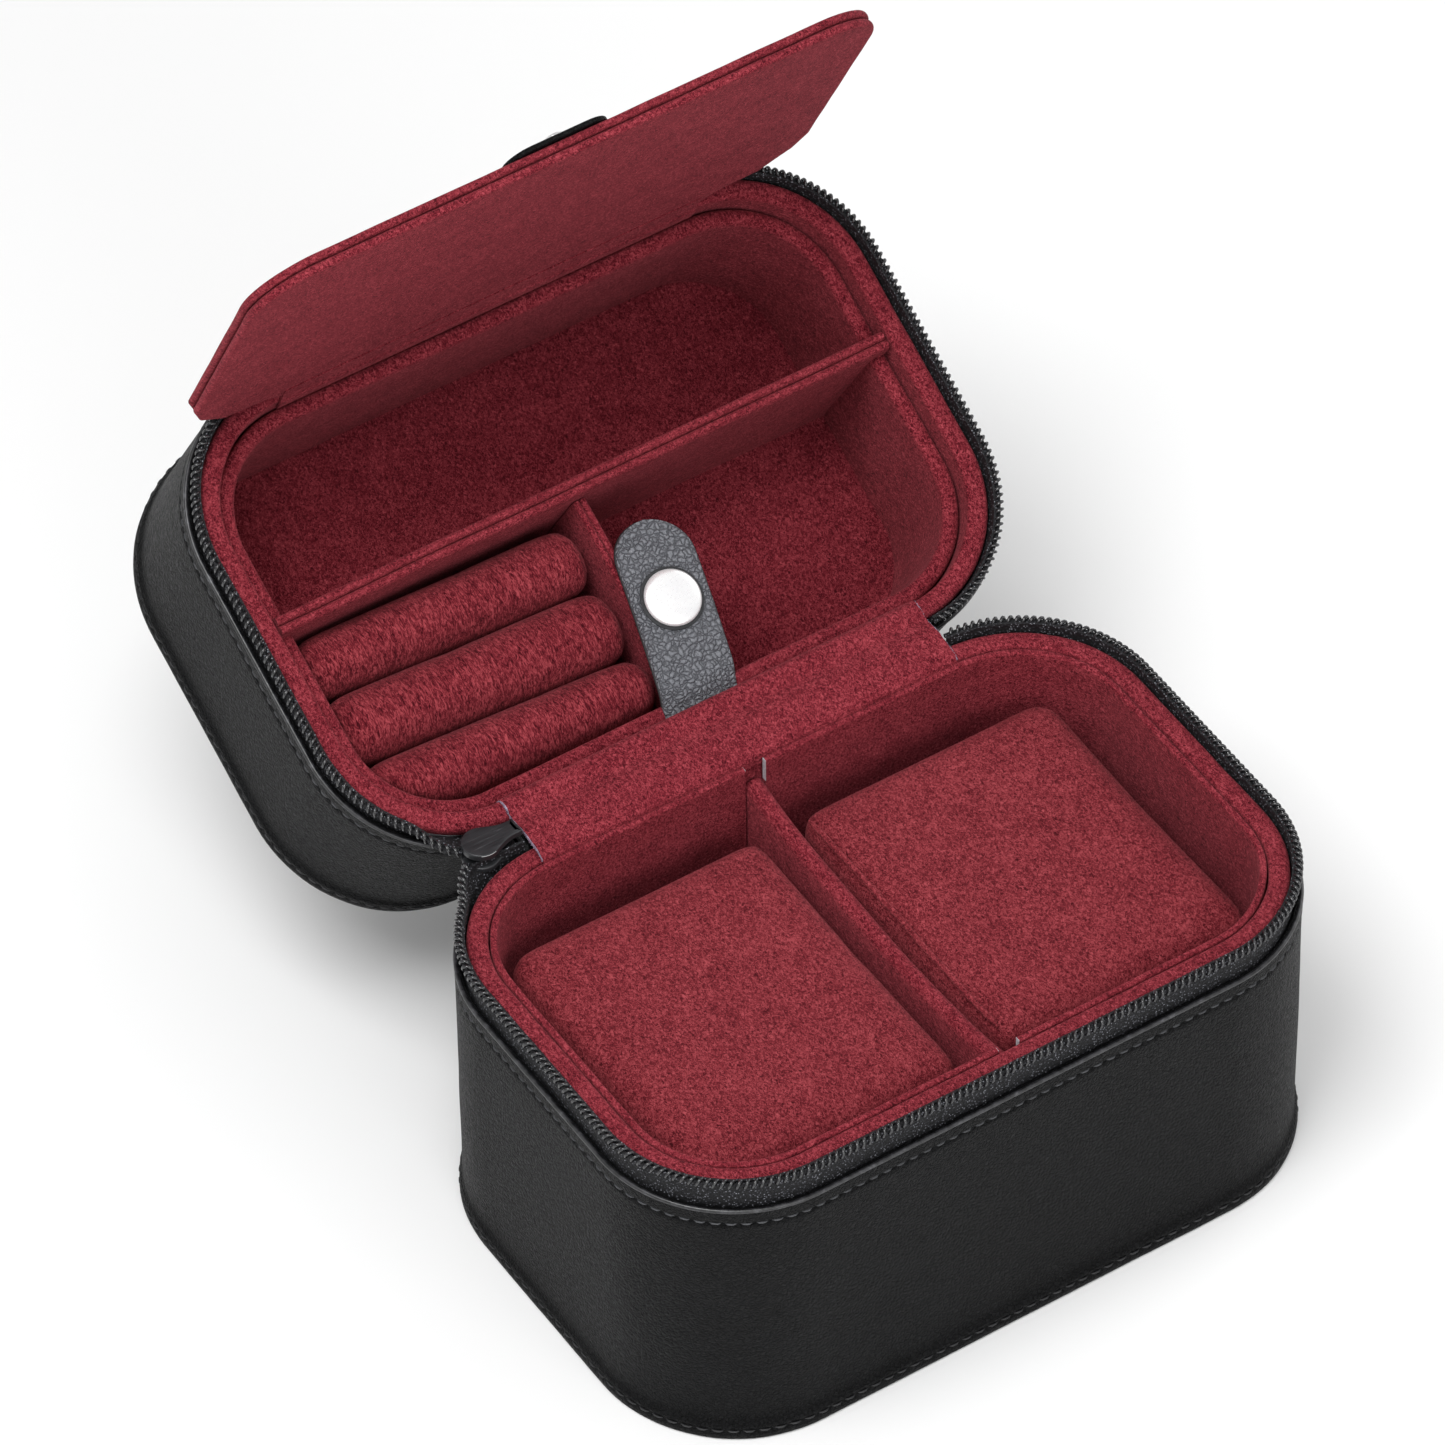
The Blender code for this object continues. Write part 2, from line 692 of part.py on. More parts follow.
def add_bail(material):
    """The arch under the slider that carries the pull."""
    left = PULL_AXIS[0] - BAIL_HALF
    right = PULL_AXIS[0] + BAIL_HALF
    arch = [
        (left, BAIL_HIGH),
        (left, BAIL_LOW),
        (right, BAIL_LOW),
        (right, BAIL_HIGH),
        (right - BAIL_BAR, BAIL_HIGH),
        (right - BAIL_BAR, BAIL_LOW + BAIL_BAR),
        (left + BAIL_BAR, BAIL_LOW + BAIL_BAR),
        (left + BAIL_BAR, BAIL_HIGH),
    ]
    body = extruded_along_y(arch, PULL_AXIS[1] - BAIL_THICK / 2, PULL_AXIS[1] + BAIL_THICK / 2)
    add_object("zip_slider_bail", body, material)


def add_pull(material, parent):
    """A tab with a window, whose top bar turns in the bail."""
    middle_y = PULL_AXIS[1]
    top = PULL_AXIS[2] + PULL_THICK / 2
    tip = top - PULL_LENGTH
    outline = [
        (middle_y - PULL_HALF, top),
        (middle_y - PULL_HALF, tip + PULL_TIP),
        (middle_y - PULL_TIP_HALF, tip),
        (middle_y + PULL_TIP_HALF, tip),
        (middle_y + PULL_HALF, tip + PULL_TIP),
        (middle_y + PULL_HALF, top),
    ]
    x_low = PULL_AXIS[0] - PULL_THICK / 2
    x_high = PULL_AXIS[0] + PULL_THICK / 2
    pull = add_object("zip_pull", extruded_along_x(outline, x_low, x_high), material, parent, PULL_AXIS)
    low = (x_low - PULL_THICK, middle_y - PULL_WINDOW_HALF, PULL_AXIS[2] + PULL_WINDOW[0])
    high = (x_high + PULL_THICK, middle_y + PULL_WINDOW_HALF, PULL_AXIS[2] + PULL_WINDOW[1])
    window = add_cutter("pull_window_guide", box(low, high), parent, PULL_AXIS)
    add_boolean(pull, window, "DIFFERENCE")


# Assembly

def build():
    clear_scene()
    materials = make_materials()
    lid_pivot = add_pivot("lid_pivot", LID_AXIS, LID_OPEN)
    flap_pivot = add_pivot("flap_pivot", FLAP_AXIS, FLAP_OPEN, lid_pivot, LID_AXIS)
    strap_pivot = add_pivot("strap_pivot", STRAP_AXIS, 0.0, lid_pivot, LID_AXIS)
    pull_pivot = add_pivot("pull_pivot", PULL_AXIS, 0.0)

    slot_half = DIVIDER_THICK / 2 + SLOT_CLEAR
    slot = ((-slot_half, -CASE_DEPTH), (slot_half, CASE_DEPTH))
    add_half(BASE, "base_bottom_panel", slot, materials)
    add_base_divider(materials["suede"])
    add_pillow("watch_pillow_left", -1, materials["suede"])
    add_pillow("watch_pillow_right", 1, materials["suede"])

    slot_half = CROSS_THICK / 2 + SLOT_CLEAR
    slot = ((-CASE_WIDTH, CROSS_CENTRE - slot_half), (CASE_WIDTH, CROSS_CENTRE + slot_half))
    add_half(LID, "lid_top_panel", slot, materials, lid_pivot, LID_AXIS)
    add_cross_divider(materials["suede"], lid_pivot)
    add_short_divider(materials["suede"], lid_pivot)
    add_ring_rolls(materials["suede"], lid_pivot)
    add_flap_hinge_strip(materials["suede"], lid_pivot)

    add_flap(materials, flap_pivot)
    add_strap(materials, strap_pivot)
    add_spine(materials)
    add_slider(materials["slider"])
    add_bail(materials["slider"])
    add_pull(materials["slider"], pull_pivot)


build()
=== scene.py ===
import json
from collections import namedtuple
from math import ceil, copysign, cos, exp, pi, radians, sin, sqrt, tan

import bmesh
import bpy
from mathutils import Matrix, Vector, noise


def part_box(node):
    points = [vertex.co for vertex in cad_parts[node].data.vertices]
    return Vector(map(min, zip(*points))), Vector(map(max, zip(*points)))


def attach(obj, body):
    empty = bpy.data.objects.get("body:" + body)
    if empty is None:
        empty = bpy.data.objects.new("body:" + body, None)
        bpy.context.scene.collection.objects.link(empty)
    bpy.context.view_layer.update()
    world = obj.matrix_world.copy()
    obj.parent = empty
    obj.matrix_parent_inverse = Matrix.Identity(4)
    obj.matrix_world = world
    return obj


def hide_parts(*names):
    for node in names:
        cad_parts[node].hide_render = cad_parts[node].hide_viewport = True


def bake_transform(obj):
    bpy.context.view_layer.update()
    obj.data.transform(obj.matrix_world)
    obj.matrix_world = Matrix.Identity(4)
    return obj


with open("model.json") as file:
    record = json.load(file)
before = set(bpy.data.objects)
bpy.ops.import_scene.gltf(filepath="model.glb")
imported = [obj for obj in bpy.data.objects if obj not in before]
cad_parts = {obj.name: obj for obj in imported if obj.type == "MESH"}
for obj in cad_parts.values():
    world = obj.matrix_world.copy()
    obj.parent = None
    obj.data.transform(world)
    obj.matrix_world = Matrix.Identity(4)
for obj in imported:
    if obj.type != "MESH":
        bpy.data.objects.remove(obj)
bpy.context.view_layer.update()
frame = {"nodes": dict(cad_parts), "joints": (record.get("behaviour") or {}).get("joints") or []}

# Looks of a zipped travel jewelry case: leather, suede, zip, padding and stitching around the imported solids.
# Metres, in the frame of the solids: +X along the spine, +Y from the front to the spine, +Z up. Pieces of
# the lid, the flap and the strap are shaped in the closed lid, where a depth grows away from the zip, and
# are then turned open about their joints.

SCENE = bpy.context.scene
MM = 0.001


def mm(*values):
    """Millimetres as metres."""
    return [value * MM for value in values]


# The case's outline, from the solids
SEAM_SWELL = 0.8 * MM
WALL_LOW, WALL_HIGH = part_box("base_leather_wall")
CASE_WIDTH = WALL_HIGH.x - WALL_LOW.x - 2 * SEAM_SWELL
CASE_DEPTH = WALL_HIGH.y - WALL_LOW.y - 2 * SEAM_SWELL
BASE_HEIGHT = WALL_HIGH.z - WALL_LOW.z
CORNER = 31 * MM
QUARTER = CORNER * pi / 2
RUN_X = CASE_WIDTH - 2 * CORNER
RUN_Y = CASE_DEPTH - 2 * CORNER
LOOP = 4 * QUARTER + 2 * RUN_X + 2 * RUN_Y
SPINE_START = LOOP - RUN_X
SPINE_HALF = RUN_X / 2 + 0.5 * MM

# The layers of a wall, as insets from its outside
LEATHER = 1.2 * MM
TAPE_OUTER = 1.5 * MM
TAPE_INNER = 2.1 * MM
RIM_OUTER = 2.4 * MM
LINER_OUTER = 4.3 * MM
LINER_INNER = 6.8 * MM
INSERT_OUTER = 7.1 * MM

# The layers of a floor, as depths from its outside
PAD_UNDER = 3.6 * MM
PAD_TOP = 5.6 * MM
CONTENT_FLOOR = 5.9 * MM
PANEL_THICK = 1.5 * MM

# The zip
ZIP_PLANE = 76.2 * MM
COIL_INSET = 0.9 * MM
COIL_PITCH = 1.6 * MM
WIRE = 0.28 * MM
COIL_START = 13.2 * MM
ZIP_END = SPINE_START - 1.6 * MM
BRIDGE_END = 25 * MM

# Stitching
EDGE_STITCH = 4 * MM
SEAM_STITCH = 2.3 * MM
SEAM_BAND = 4.5 * MM
STITCH_PITCH = 3.1 * MM

Half = namedtuple("Half", "name edge away height rim insert_top insert_inner turn")
JOINTS = {joint["name"]: joint for joint in frame["joints"]}


def turned_about(point, degrees):
    centre = Matrix.Translation(point)
    return centre @ Matrix.Rotation(radians(degrees), 4, "X") @ centre.inverted()


# Rest is the open case: the upper limit of the lid and of the flap is closed
LID_TURN = turned_about(Vector(JOINTS["lid_hinge"]["pos_m"]), -max(JOINTS["lid_hinge"]["range_deg"]))
FLAP_AXIS = LID_TURN.inverted() @ Vector(JOINTS["flap_fold"]["pos_m"])
FLAP_TURN = LID_TURN @ turned_about(FLAP_AXIS, -max(JOINTS["flap_fold"]["range_deg"]))
STRAP_AXIS = LID_TURN.inverted() @ Vector(JOINTS["strap_lift"]["pos_m"])
BASE = Half("base", BASE_HEIGHT, -1, BASE_HEIGHT, -5.5 * MM, -5.1 * MM, 8.6 * MM, Matrix.Identity(4))
LID = Half("lid", 82.2 * MM, 1, 44 * MM, -2.7 * MM, 2 * MM, 10.7 * MM, LID_TURN)
HALVES = (BASE, LID)


# Placing points

def level(half, depth):
    return half.edge + half.away * depth


def track(s):
    """Point and outward direction on the case's outline, s metres anticlockwise from the spine's left end."""
    s %= LOOP
    for i, (side_x, side_y) in enumerate(((-1, 1), (-1, -1), (1, -1), (1, 1))):
        run = (RUN_Y, RUN_X)[i % 2]
        if s < QUARTER + run or i == 3:
            break
        s -= QUARTER + run
    angle = radians(90 + 90 * i) + min(s / CORNER, pi / 2)
    out = Vector((cos(angle), sin(angle)))
    centre = Vector((side_x * RUN_X / 2, side_y * RUN_Y / 2))
    return centre + CORNER * out + max(0, s - QUARTER) * Vector((-out.y, out.x)), out


def placed(half, s, inset, depth):
    point, out = track(s)
    flat = point - inset * out
    return half.turn @ Vector((flat.x, flat.y, level(half, depth)))


def ease(value):
    value = min(max(value, 0), 1)
    return value * value * (3 - 2 * value)


def bridge(s):
    """How far the zip leaves the outline near the slider, where it runs straight on to the spine."""
    angle = min(s, COIL_START) / CORNER
    straight = (CORNER + 0.3 * MM) / cos(angle) - CORNER
    return straight * ease((BRIDGE_END - s) / (BRIDGE_END - COIL_START))


def ripple(point, size, seed=0):
    """Smooth irregularity from -1 to 1, with bumps of about the given size."""
    return noise.noise(Vector(point) / size + Vector((seed, seed * 1.7, seed * 0.3)))


def evenly(start, end, step):
    count = max(2, round(abs(end - start) / step))
    return [start + (end - start) * i / count for i in range(count + 1)]


def around(step):
    """Stations once round the outline."""
    return evenly(0, LOOP, step)[:-1]


def fillet(corners, steps=4):
    """A closed outline whose corners, given as (a, b, radius), are rounded."""
    points = []
    for i, (a, b, radius) in enumerate(corners):
        corner = Vector((a, b))
        before = Vector(corners[i - 1][:2]) - corner
        after = Vector(corners[(i + 1) % len(corners)][:2]) - corner
        reach = min(radius, before.length * 0.5, after.length * 0.5)
        if reach < 0.01 * MM:
            points.append(corner)
            continue
        first = corner + before.normalized() * reach
        last = corner + after.normalized() * reach
        for k in range(steps + 1):
            t = k / steps
            points.append(first.lerp(corner, t).lerp(corner.lerp(last, t), t))
    return points


def densified(points, step):
    """The same closed outline with no side longer than a step."""
    dense = []
    for i, point in enumerate(points):
        after = points[(i + 1) % len(points)]
        count = max(1, ceil((after - point).length / step))
        dense += [point.lerp(after, k / count) for k in range(count)]
    return dense


def smoothed(line, steps):
    """A curve through the points of an open line."""
    points = [Vector(point) for point in line]
    ends = [2 * points[0] - points[1], *points, 2 * points[-1] - points[-2]]
    curve = []
    for i in range(1, len(ends) - 2):
        a, b, c, d = ends[i - 1 : i + 3]
        for k in range(steps):
            t = k / steps
            square = 2 * a - 5 * b + 4 * c - d
            cube = 3 * b - a - 3 * c + d
            curve.append(0.5 * (2 * b + (c - a) * t + square * t * t + cube * t ** 3))
    return curve + [points[-1]]


def heading(line, i):
    """The direction of an open line at one of its points."""
    return (line[min(i + 1, len(line) - 1)] - line[max(i - 1, 0)]).normalized()


def unit(degrees):
    return Vector((cos(radians(degrees)), sin(radians(degrees))))


def circle(count):
    """Evenly spaced points once round a unit circle."""
    angles = [2 * pi * k / count for k in range(count)]
    return [(cos(angle), sin(angle)) for angle in angles]


# Shapes, as rings of points

def tube(line, radii, sides=6):
    """A tube along a line, with a radius at each point."""
    rings = []
    side = None
    for i, point in enumerate(line):
        along = heading(line, i)
        if side is None:
            side = along.orthogonal()
        side = (side - along * side.dot(along)).normalized()
        other = along.cross(side)
        rings.append([point + radii[i] * (x * side + y * other) for x, y in circle(sides)])
    return rings


def turned(place, rows, steps):
    """A round body about the local z axis of a placing matrix, from (radius, z) rows."""
    return [[place @ Vector((r * x, r * y, z)) for x, y in circle(steps)] for r, z in rows]


def sweep(half, profile, stations, shape):
    """A profile of (inset, depth) points along the outline, each where shape(s, inset, depth) puts it."""
    return [[placed(half, s, *shape(s, *point)) for point in profile] for s in stations]


def slab(place, outline, rows, wobble=0):
    """A plate with a rounded edge, from (inset, z) rows of a flat outline; z is the local thickness."""
    rings = []
    for inset, z in rows:
        ring = []
        for i, point in enumerate(outline):
            along = (outline[(i + 1) % len(outline)] - outline[i - 1]).normalized()
            moved = point + inset * Vector((-along.y, along.x))
            lift = wobble * ripple((moved.x, moved.y, z), 9 * MM)
            ring.append(place @ Vector((moved.x, moved.y, z + lift)))
        rings.append(ring)
    return rings


def plate_rows(low, high, soft, steps=4):
    """Rows of a plate whose edge is rounded by soft at both faces."""
    turns = [pi / 2 * k / steps for k in range(steps + 1)]
    rows = [(soft * (1 - sin(a)), low + soft * (1 - cos(a))) for a in turns]
    rows += [(soft * (1 - cos(a)), high - soft * (1 - sin(a))) for a in turns]
    return [(soft * 4, low), *rows, (soft * 4, high)]


# Materials

class Look:
    """A Principled material with procedural detail in the piece's own coordinates; sizes are in mm."""

    def __init__(self, name, slot, roughness, **settings):
        self.slot = slot
        self.material = bpy.data.materials.new(name)
        self.material.use_nodes = True
        self.nodes = self.material.node_tree.nodes
        self.links = self.material.node_tree.links
        self.shader = self.nodes["Principled BSDF"]
        self.set(Roughness=roughness, **settings)
        self.place = self.nodes.new("ShaderNodeTexCoord").outputs["Object"]
        self.normal = None

    def set(self, **values):
        for name, value in values.items():
            self.shader.inputs[name.replace("_", " ")].default_value = value

    def made(self, kind, inputs, **settings):
        """The outputs of a new node with these settings, its inputs linked or set to numbers."""
        node = self.nodes.new("ShaderNode" + kind)
        for name, value in settings.items():
            setattr(node, name, value)
        for name, value in inputs.items():
            if isinstance(value, bpy.types.NodeSocket):
                self.links.new(value, node.inputs[name])
            else:
                node.inputs[name].default_value = value
        return node.outputs

    def stretched(self, x, y, z):
        return self.made("Mapping", {"Scale": (x, y, z), "Vector": self.place})[0]

    def noise(self, size, detail=3, rough=0.5, place=None, distortion=0):
        inputs = {"Scale": 1 / (size * MM), "Detail": detail, "Roughness": rough, "Distortion": distortion}
        return self.made("TexNoise", {**inputs, "Vector": place or self.place})[0]

    def cells(self, size, feature="DISTANCE_TO_EDGE", warp=0):
        size *= MM
        place = self.place
        if warp:
            shift = self.made("TexNoise", {"Scale": 0.7 / size, "Vector": place})["Color"]
            spread = {0: shift, 1: (warp * size,) * 3, 2: place}
            place = self.made("VectorMath", spread, operation="MULTIPLY_ADD")[0]
        return self.made("TexVoronoi", {"Scale": 1 / size, "Vector": place}, feature=feature)["Distance"]

    def ranged(self, value, low, high, to_low=0, to_high=1):
        return self.made("MapRange", dict(enumerate((value, low, high, to_low, to_high))))[0]

    def combined(self, a, b, share):
        """A weighted sum of two values."""
        return self.made("Math", {0: b, 1: share, 2: a}, operation="MULTIPLY_ADD")[0]

    def coloured(self, value, *stops):
        """Base colour from a value, through stops of position, red, green and blue."""
        node = self.nodes.new("ShaderNodeValToRGB")
        ramp = node.color_ramp
        while len(ramp.elements) < len(stops):
            ramp.elements.new(1)
        for element, (position, *colour) in zip(ramp.elements, stops):
            element.position = position
            element.color = (*colour, 1)
        self.links.new(value, node.inputs["Fac"])
        self.links.new(node.outputs["Color"], self.shader.inputs["Base Color"])

    def roughened(self, value, low, high):
        self.links.new(self.ranged(value, 0.25, 0.75, low, high), self.shader.inputs["Roughness"])

    def bumped(self, height, distance, strength=1):
        inputs = {"Strength": strength, "Distance": distance * MM, "Height": height}
        if self.normal:
            inputs["Normal"] = self.normal
        self.normal = self.made("Bump", inputs)["Normal"]
        self.links.new(self.normal, self.shader.inputs["Normal"])


def leather_look():
    look = Look("black_leather", "leather", 0.45, Specular_IOR_Level=0.11)
    tone = look.noise(6, 5, 0.6)
    look.coloured(tone, (0.3, 0.0026, 0.0026, 0.0030), (0.7, 0.0052, 0.0053, 0.0059))
    look.roughened(look.noise(0.9, 4, 0.6), 0.34, 0.60)
    look.bumped(look.noise(14, 2), 0.5, 0.25)
    grain = look.ranged(look.cells(1, warp=1.2), 0, 0.20)
    look.bumped(grain, 0.42, 1)
    look.bumped(look.noise(0.40, 4, 0.7), 0.22, 1)
    return look


def strap_look():
    look = Look("grey_pebbled_leather", "strap", 0.5, Specular_IOR_Level=0.5)
    creases = look.cells(1.15, warp=1.8)
    tone = look.noise(1.3, 5, 0.75)
    # Painted shade: the creases are darkened in the colour as well as sunk by the bump.
    shade = look.combined(look.ranged(creases, 0, 0.16, 0, 0.60), tone, 0.75)
    light = (1, 0.165, 0.171, 0.190)
    look.coloured(shade, (0.2, 0.020, 0.020, 0.024), (0.6, 0.076, 0.080, 0.092), light)
    look.roughened(look.noise(0.7, 3), 0.36, 0.52)
    look.bumped(look.ranged(creases, 0, 0.3), 0.36, 1)
    look.bumped(look.noise(0.35, 4, 0.7), 0.05, 0.7)
    return look


def suede_look(name, dark, middle, light, lie=(1, 0.6, 1)):
    """Short nap: fine fibres, longer where their lie is below one, over soft mottling."""
    look = Look(name, "suede", 0.95, Specular_IOR_Level=0.08)
    look.set(Sheen_Weight=0.12, Sheen_Roughness=0.5, Sheen_Tint=(1, 0.30, 0.34, 1))
    fibres = look.noise(0.46, 6, 0.8, look.stretched(*lie), 1.2)
    mottling = look.noise(5.5, 4, 0.6, None, 0.6)
    shade = look.combined(look.ranged(fibres, 0.39, 0.61, 0, 0.82), mottling, 0.38)
    look.coloured(shade, (0.22, *dark), (0.60, *middle), (1, *light))
    look.bumped(mottling, 0.35, 0.25)
    look.bumped(fibres, 0.16, 0.8)
    return look


def tape_look():
    look = Look("woven_zip_tape", "tape", 0.8, Specular_IOR_Level=0.4)
    threads = look.cells(0.60, "F1", 0.6)
    # Painted highlight and painted shade: glints on the raised thread centres, and the gaps between threads
    # painted darker than the tape's own black.
    glints = (0, 0.420, 0.430, 0.470), (0.22, 0.100, 0.103, 0.118)
    shaded_gaps = (0.48, 0.010, 0.010, 0.013), (1, 0.002, 0.002, 0.003)
    look.coloured(look.ranged(threads, 0.05, 0.6), *glints, *shaded_gaps)
    look.roughened(look.noise(0.4, 2), 0.55, 0.9)
    look.bumped(look.ranged(threads, 0, 0.7, 1, 0), 0.22, 1)
    return look


def thread_look(name, roughness, dark, light, lie=(1, 1, 1)):
    look = Look(name, "leather", roughness)
    twist = look.noise(0.35, 3, 0.6, look.stretched(*lie))
    look.coloured(twist, (0.3, *dark), (0.7, *light))
    look.bumped(twist, 0.06, 0.8)
    return look


def slider_look():
    look = Look("black_enamel", "slider", 0.42, Specular_IOR_Level=0.5, Metallic=0.25)
    scratches = look.noise(0.8, 5, 0.7, look.stretched(0.15, 1.4, 1))
    bare = (0.74, 0.110, 0.112, 0.118)
    look.coloured(scratches, (0.35, 0.018, 0.019, 0.021), (0.62, 0.030, 0.031, 0.034), bare)
    look.roughened(scratches, 0.34, 0.5)
    look.bumped(scratches, 0.02, 0.5)
    return look


def plain_look(name, slot, roughness, tone, stops, rough=None, bump=None, **settings):
    """Colour, roughness and bump from three noises; rough and bump end with two numbers of their own."""
    look = Look(name, slot, roughness, **settings)
    look.coloured(look.noise(*tone), *stops)
    if rough:
        look.roughened(look.noise(*rough[:-2]), *rough[-2:])
    if bump:
        look.bumped(look.noise(*bump[:-2]), *bump[-2:])
    return look


# Colours from dark to light; from the leather edge's colours on, each with its place on the ramp
SUEDE = ((0.038, 0.0028, 0.0055), (0.158, 0.0135, 0.0220), (0.370, 0.0600, 0.0760))
PLUSH = ((0.040, 0.0034, 0.0058), (0.162, 0.0165, 0.0235), (0.360, 0.0640, 0.0760))
PILE = ((0.030, 0.0018, 0.0040), (0.140, 0.0120, 0.0190), (0.350, 0.0580, 0.0700))
WAXED = ((0.020, 0.021, 0.024), (0.075, 0.078, 0.086), (1, 2.4, 1))
BLACK = ((0.004, 0.004, 0.005), (0.016, 0.016, 0.018))
# Leather edge: near-black edge paint with whitish flecks that are painted highlight
EDGE = ((0.42, 0.004, 0.004, 0.005), (0.60, 0.030, 0.030, 0.034), (0.75, 0.110, 0.112, 0.122))
NYLON = ((0.3, 0.008, 0.008, 0.009), (0.8, 0.020, 0.020, 0.023))
CHROME = ((0.3, 0.93, 0.93, 0.94), (0.7, 0.98, 0.98, 0.98))
WHITE = ((0.3, 0.90, 0.90, 0.91), (0.7, 0.96, 0.96, 0.96))
CORE = ((0.3, 0.32, 0.30, 0.32), (0.7, 0.55, 0.53, 0.57))
BACKING = ((0.3, 0.16, 0.10, 0.15), (0.7, 0.42, 0.36, 0.46))
CUT_BUMP = (0.3, 3, 0.05, 0.6)
LOOKS = {
    "leather": leather_look(),
    # The leather edge's whitish flecks are painted highlight on a glossy bead
    "edge": plain_look(
        "leather_edge_with_painted_highlight", "leather", 0.35, (2.2, 5, 0.7), EDGE, (0.9, 4, 0.6, 0.25, 0.45),
        (0.5, 3, 0.6, 0.05, 0.8), Specular_IOR_Level=0.6),
    "strap": strap_look(),
    "suede": suede_look("red_suede", *SUEDE),
    "plush": suede_look("red_suede_pillow", *PLUSH),
    "pile": suede_look("red_suede_long_nap", *PILE, (1.1, 0.30, 0.30)),
    "tape": tape_look(),
    "coil": plain_look(
        "zip_nylon", "coil", 0.22, (1.5, 3), NYLON, (0.5, 3, 0.14, 0.28), (0.3, 2, 0.02, 0.5),
        Specular_IOR_Level=0.8),
    "thread": thread_look("waxed_thread", 0.55, *WAXED),
    "dark_thread": thread_look("black_thread", 0.6, *BLACK),
    "slider": slider_look(),
    "chrome": plain_look(
        "polished_snap", "chrome", 0.12, (4, 2), CHROME, (0.6, 4, 0.7, 0.08, 0.2), Metallic=1),
    "cap": plain_look(
        "white_metal_cap", "chrome", 0.3, (4, 2), WHITE, (0.6, 4, 0.7, 0.24, 0.36), Metallic=0.5),
    "board": plain_look("pale_cut_edge", "board", 0.85, (0.5, 4), CORE, bump=CUT_BUMP),
    "fringe": plain_look("cut_backing", "suede", 0.9, (0.8, 3), BACKING, bump=CUT_BUMP),
}


# Making pieces

def add_rings(bm, rings, closed=False):
    """Skins rings of points, each a closed loop, and caps an open row."""
    rows = [[bm.verts.new(point) for point in ring] for ring in rings]
    for i in range(len(rows) if closed else len(rows) - 1):
        near = rows[i]
        far = rows[(i + 1) % len(rows)]
        for j in range(len(near)):
            k = (j + 1) % len(near)
            bm.faces.new((near[j], near[k], far[k], far[j]))
    if not closed:
        bm.faces.new(rows[0][::-1])
        bm.faces.new(rows[-1])


def new_object(name, stacks, closed=False):
    """An object in the scene, skinned over one or more stacks of rings."""
    bm = bmesh.new()
    for rings in stacks:
        add_rings(bm, rings, closed)
    bmesh.ops.recalc_face_normals(bm, faces=bm.faces)
    mesh = bpy.data.meshes.new(name)
    bm.to_mesh(mesh)
    bm.free()
    return linked(name, mesh)


def linked(name, data):
    item = bpy.data.objects.new(name, data)
    SCENE.collection.objects.link(item)
    return item


def finish_piece(item, look, body, nodes=(), sharp=50):
    """Gives a piece its finish and its body (none if it blends two), and has it stand for its solids."""
    item.data.materials.clear()
    item.data.materials.append(LOOKS[look].material)
    item.data.shade_smooth()
    item.data.set_sharp_from_angle(angle=radians(sharp))
    if body:
        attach(item, body)
    if nodes:
        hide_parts(*nodes)
    return item


def make_piece(name, stacks, look, body, nodes=(), sharp=50, closed=False):
    return finish_piece(new_object(name, stacks, closed), look, body, nodes, sharp)


def make_half(half, name, stacks, look, solid=None, sharp=50, closed=False):
    """A piece of the base or of the lid, standing for a solid of that half."""
    solids = [f"{half.name}_{solid}"] if solid else ()
    return make_piece(f"{half.name}_{name}", stacks, look, half.name, solids, sharp, closed)


def make_turned(name, place, rows, steps, look, body, nodes=()):
    """A round piece from (radius, z) rows in millimetres."""
    return make_piece(name, [turned(place, [mm(*row) for row in rows], steps)], look, body, nodes, 40)


# Leather shells

EDGE_PUFF = 0.25 * MM
EDGE_BEAD = 0.50 * MM
EDGE_BEAD_INSET = 0.16 * MM
EDGE_BEAD_DEPTH = 0.36 * MM


def add_leather_wall(half):
    """A shell with a rolled edge at the zip, a stitched groove under it, and a welted seam at its foot."""
    height = half.height
    swell = height - SEAM_BAND
    groove = height - SEAM_STITCH
    corners = [
        (LEATHER, 0, 0.5 * MM), (-EDGE_PUFF, 0, 0.8 * MM), (-EDGE_PUFF, EDGE_STITCH - 0.7 * MM, 0.5 * MM),
        (0.28 * MM, EDGE_STITCH, 0.3 * MM), (-0.10 * MM, EDGE_STITCH + 0.9 * MM, 0.8 * MM),
        (0, swell, 1.2 * MM), (-SEAM_SWELL, swell + 1.2 * MM, 0.6 * MM),
        (-SEAM_SWELL + 0.3 * MM, groove, 0.25 * MM), (-SEAM_SWELL, height - 1.2 * MM, 0.4 * MM),
        (-SEAM_SWELL + 0.1 * MM, height - 0.02 * MM, 0.3 * MM), (LEATHER, height - 0.02 * MM, 0),
    ]

    def shape(s, inset, depth):
        if inset > LEATHER - 0.2 * MM:
            return inset, depth
        point = track(s)[0]
        give = 0.16 * MM * ripple((*point, depth), 22 * MM, 3)
        give += 0.05 * MM * ripple((*point, depth), 6 * MM, 5)
        pull = 0.5 + 0.5 * cos(2 * pi * s / STITCH_PITCH)
        near = exp(-((depth - EDGE_STITCH) / (0.8 * MM)) ** 2)
        near += exp(-((depth - groove) / (0.8 * MM)) ** 2)
        return inset + give * ease(depth / (3 * MM)) + 0.13 * MM * pull * near, depth

    rings = sweep(half, densified(fillet(corners), 3 * MM), around(0.8 * MM), shape)
    make_half(half, "leather_shell", [rings], "leather", "leather_wall", closed=True)
    add_stitches(half, "edge", 0.08 * MM, EDGE_STITCH, "thread")
    add_stitches(half, "seam", -SEAM_SWELL + 0.12 * MM, groove, "dark_thread")
    add_leather_edge(half)


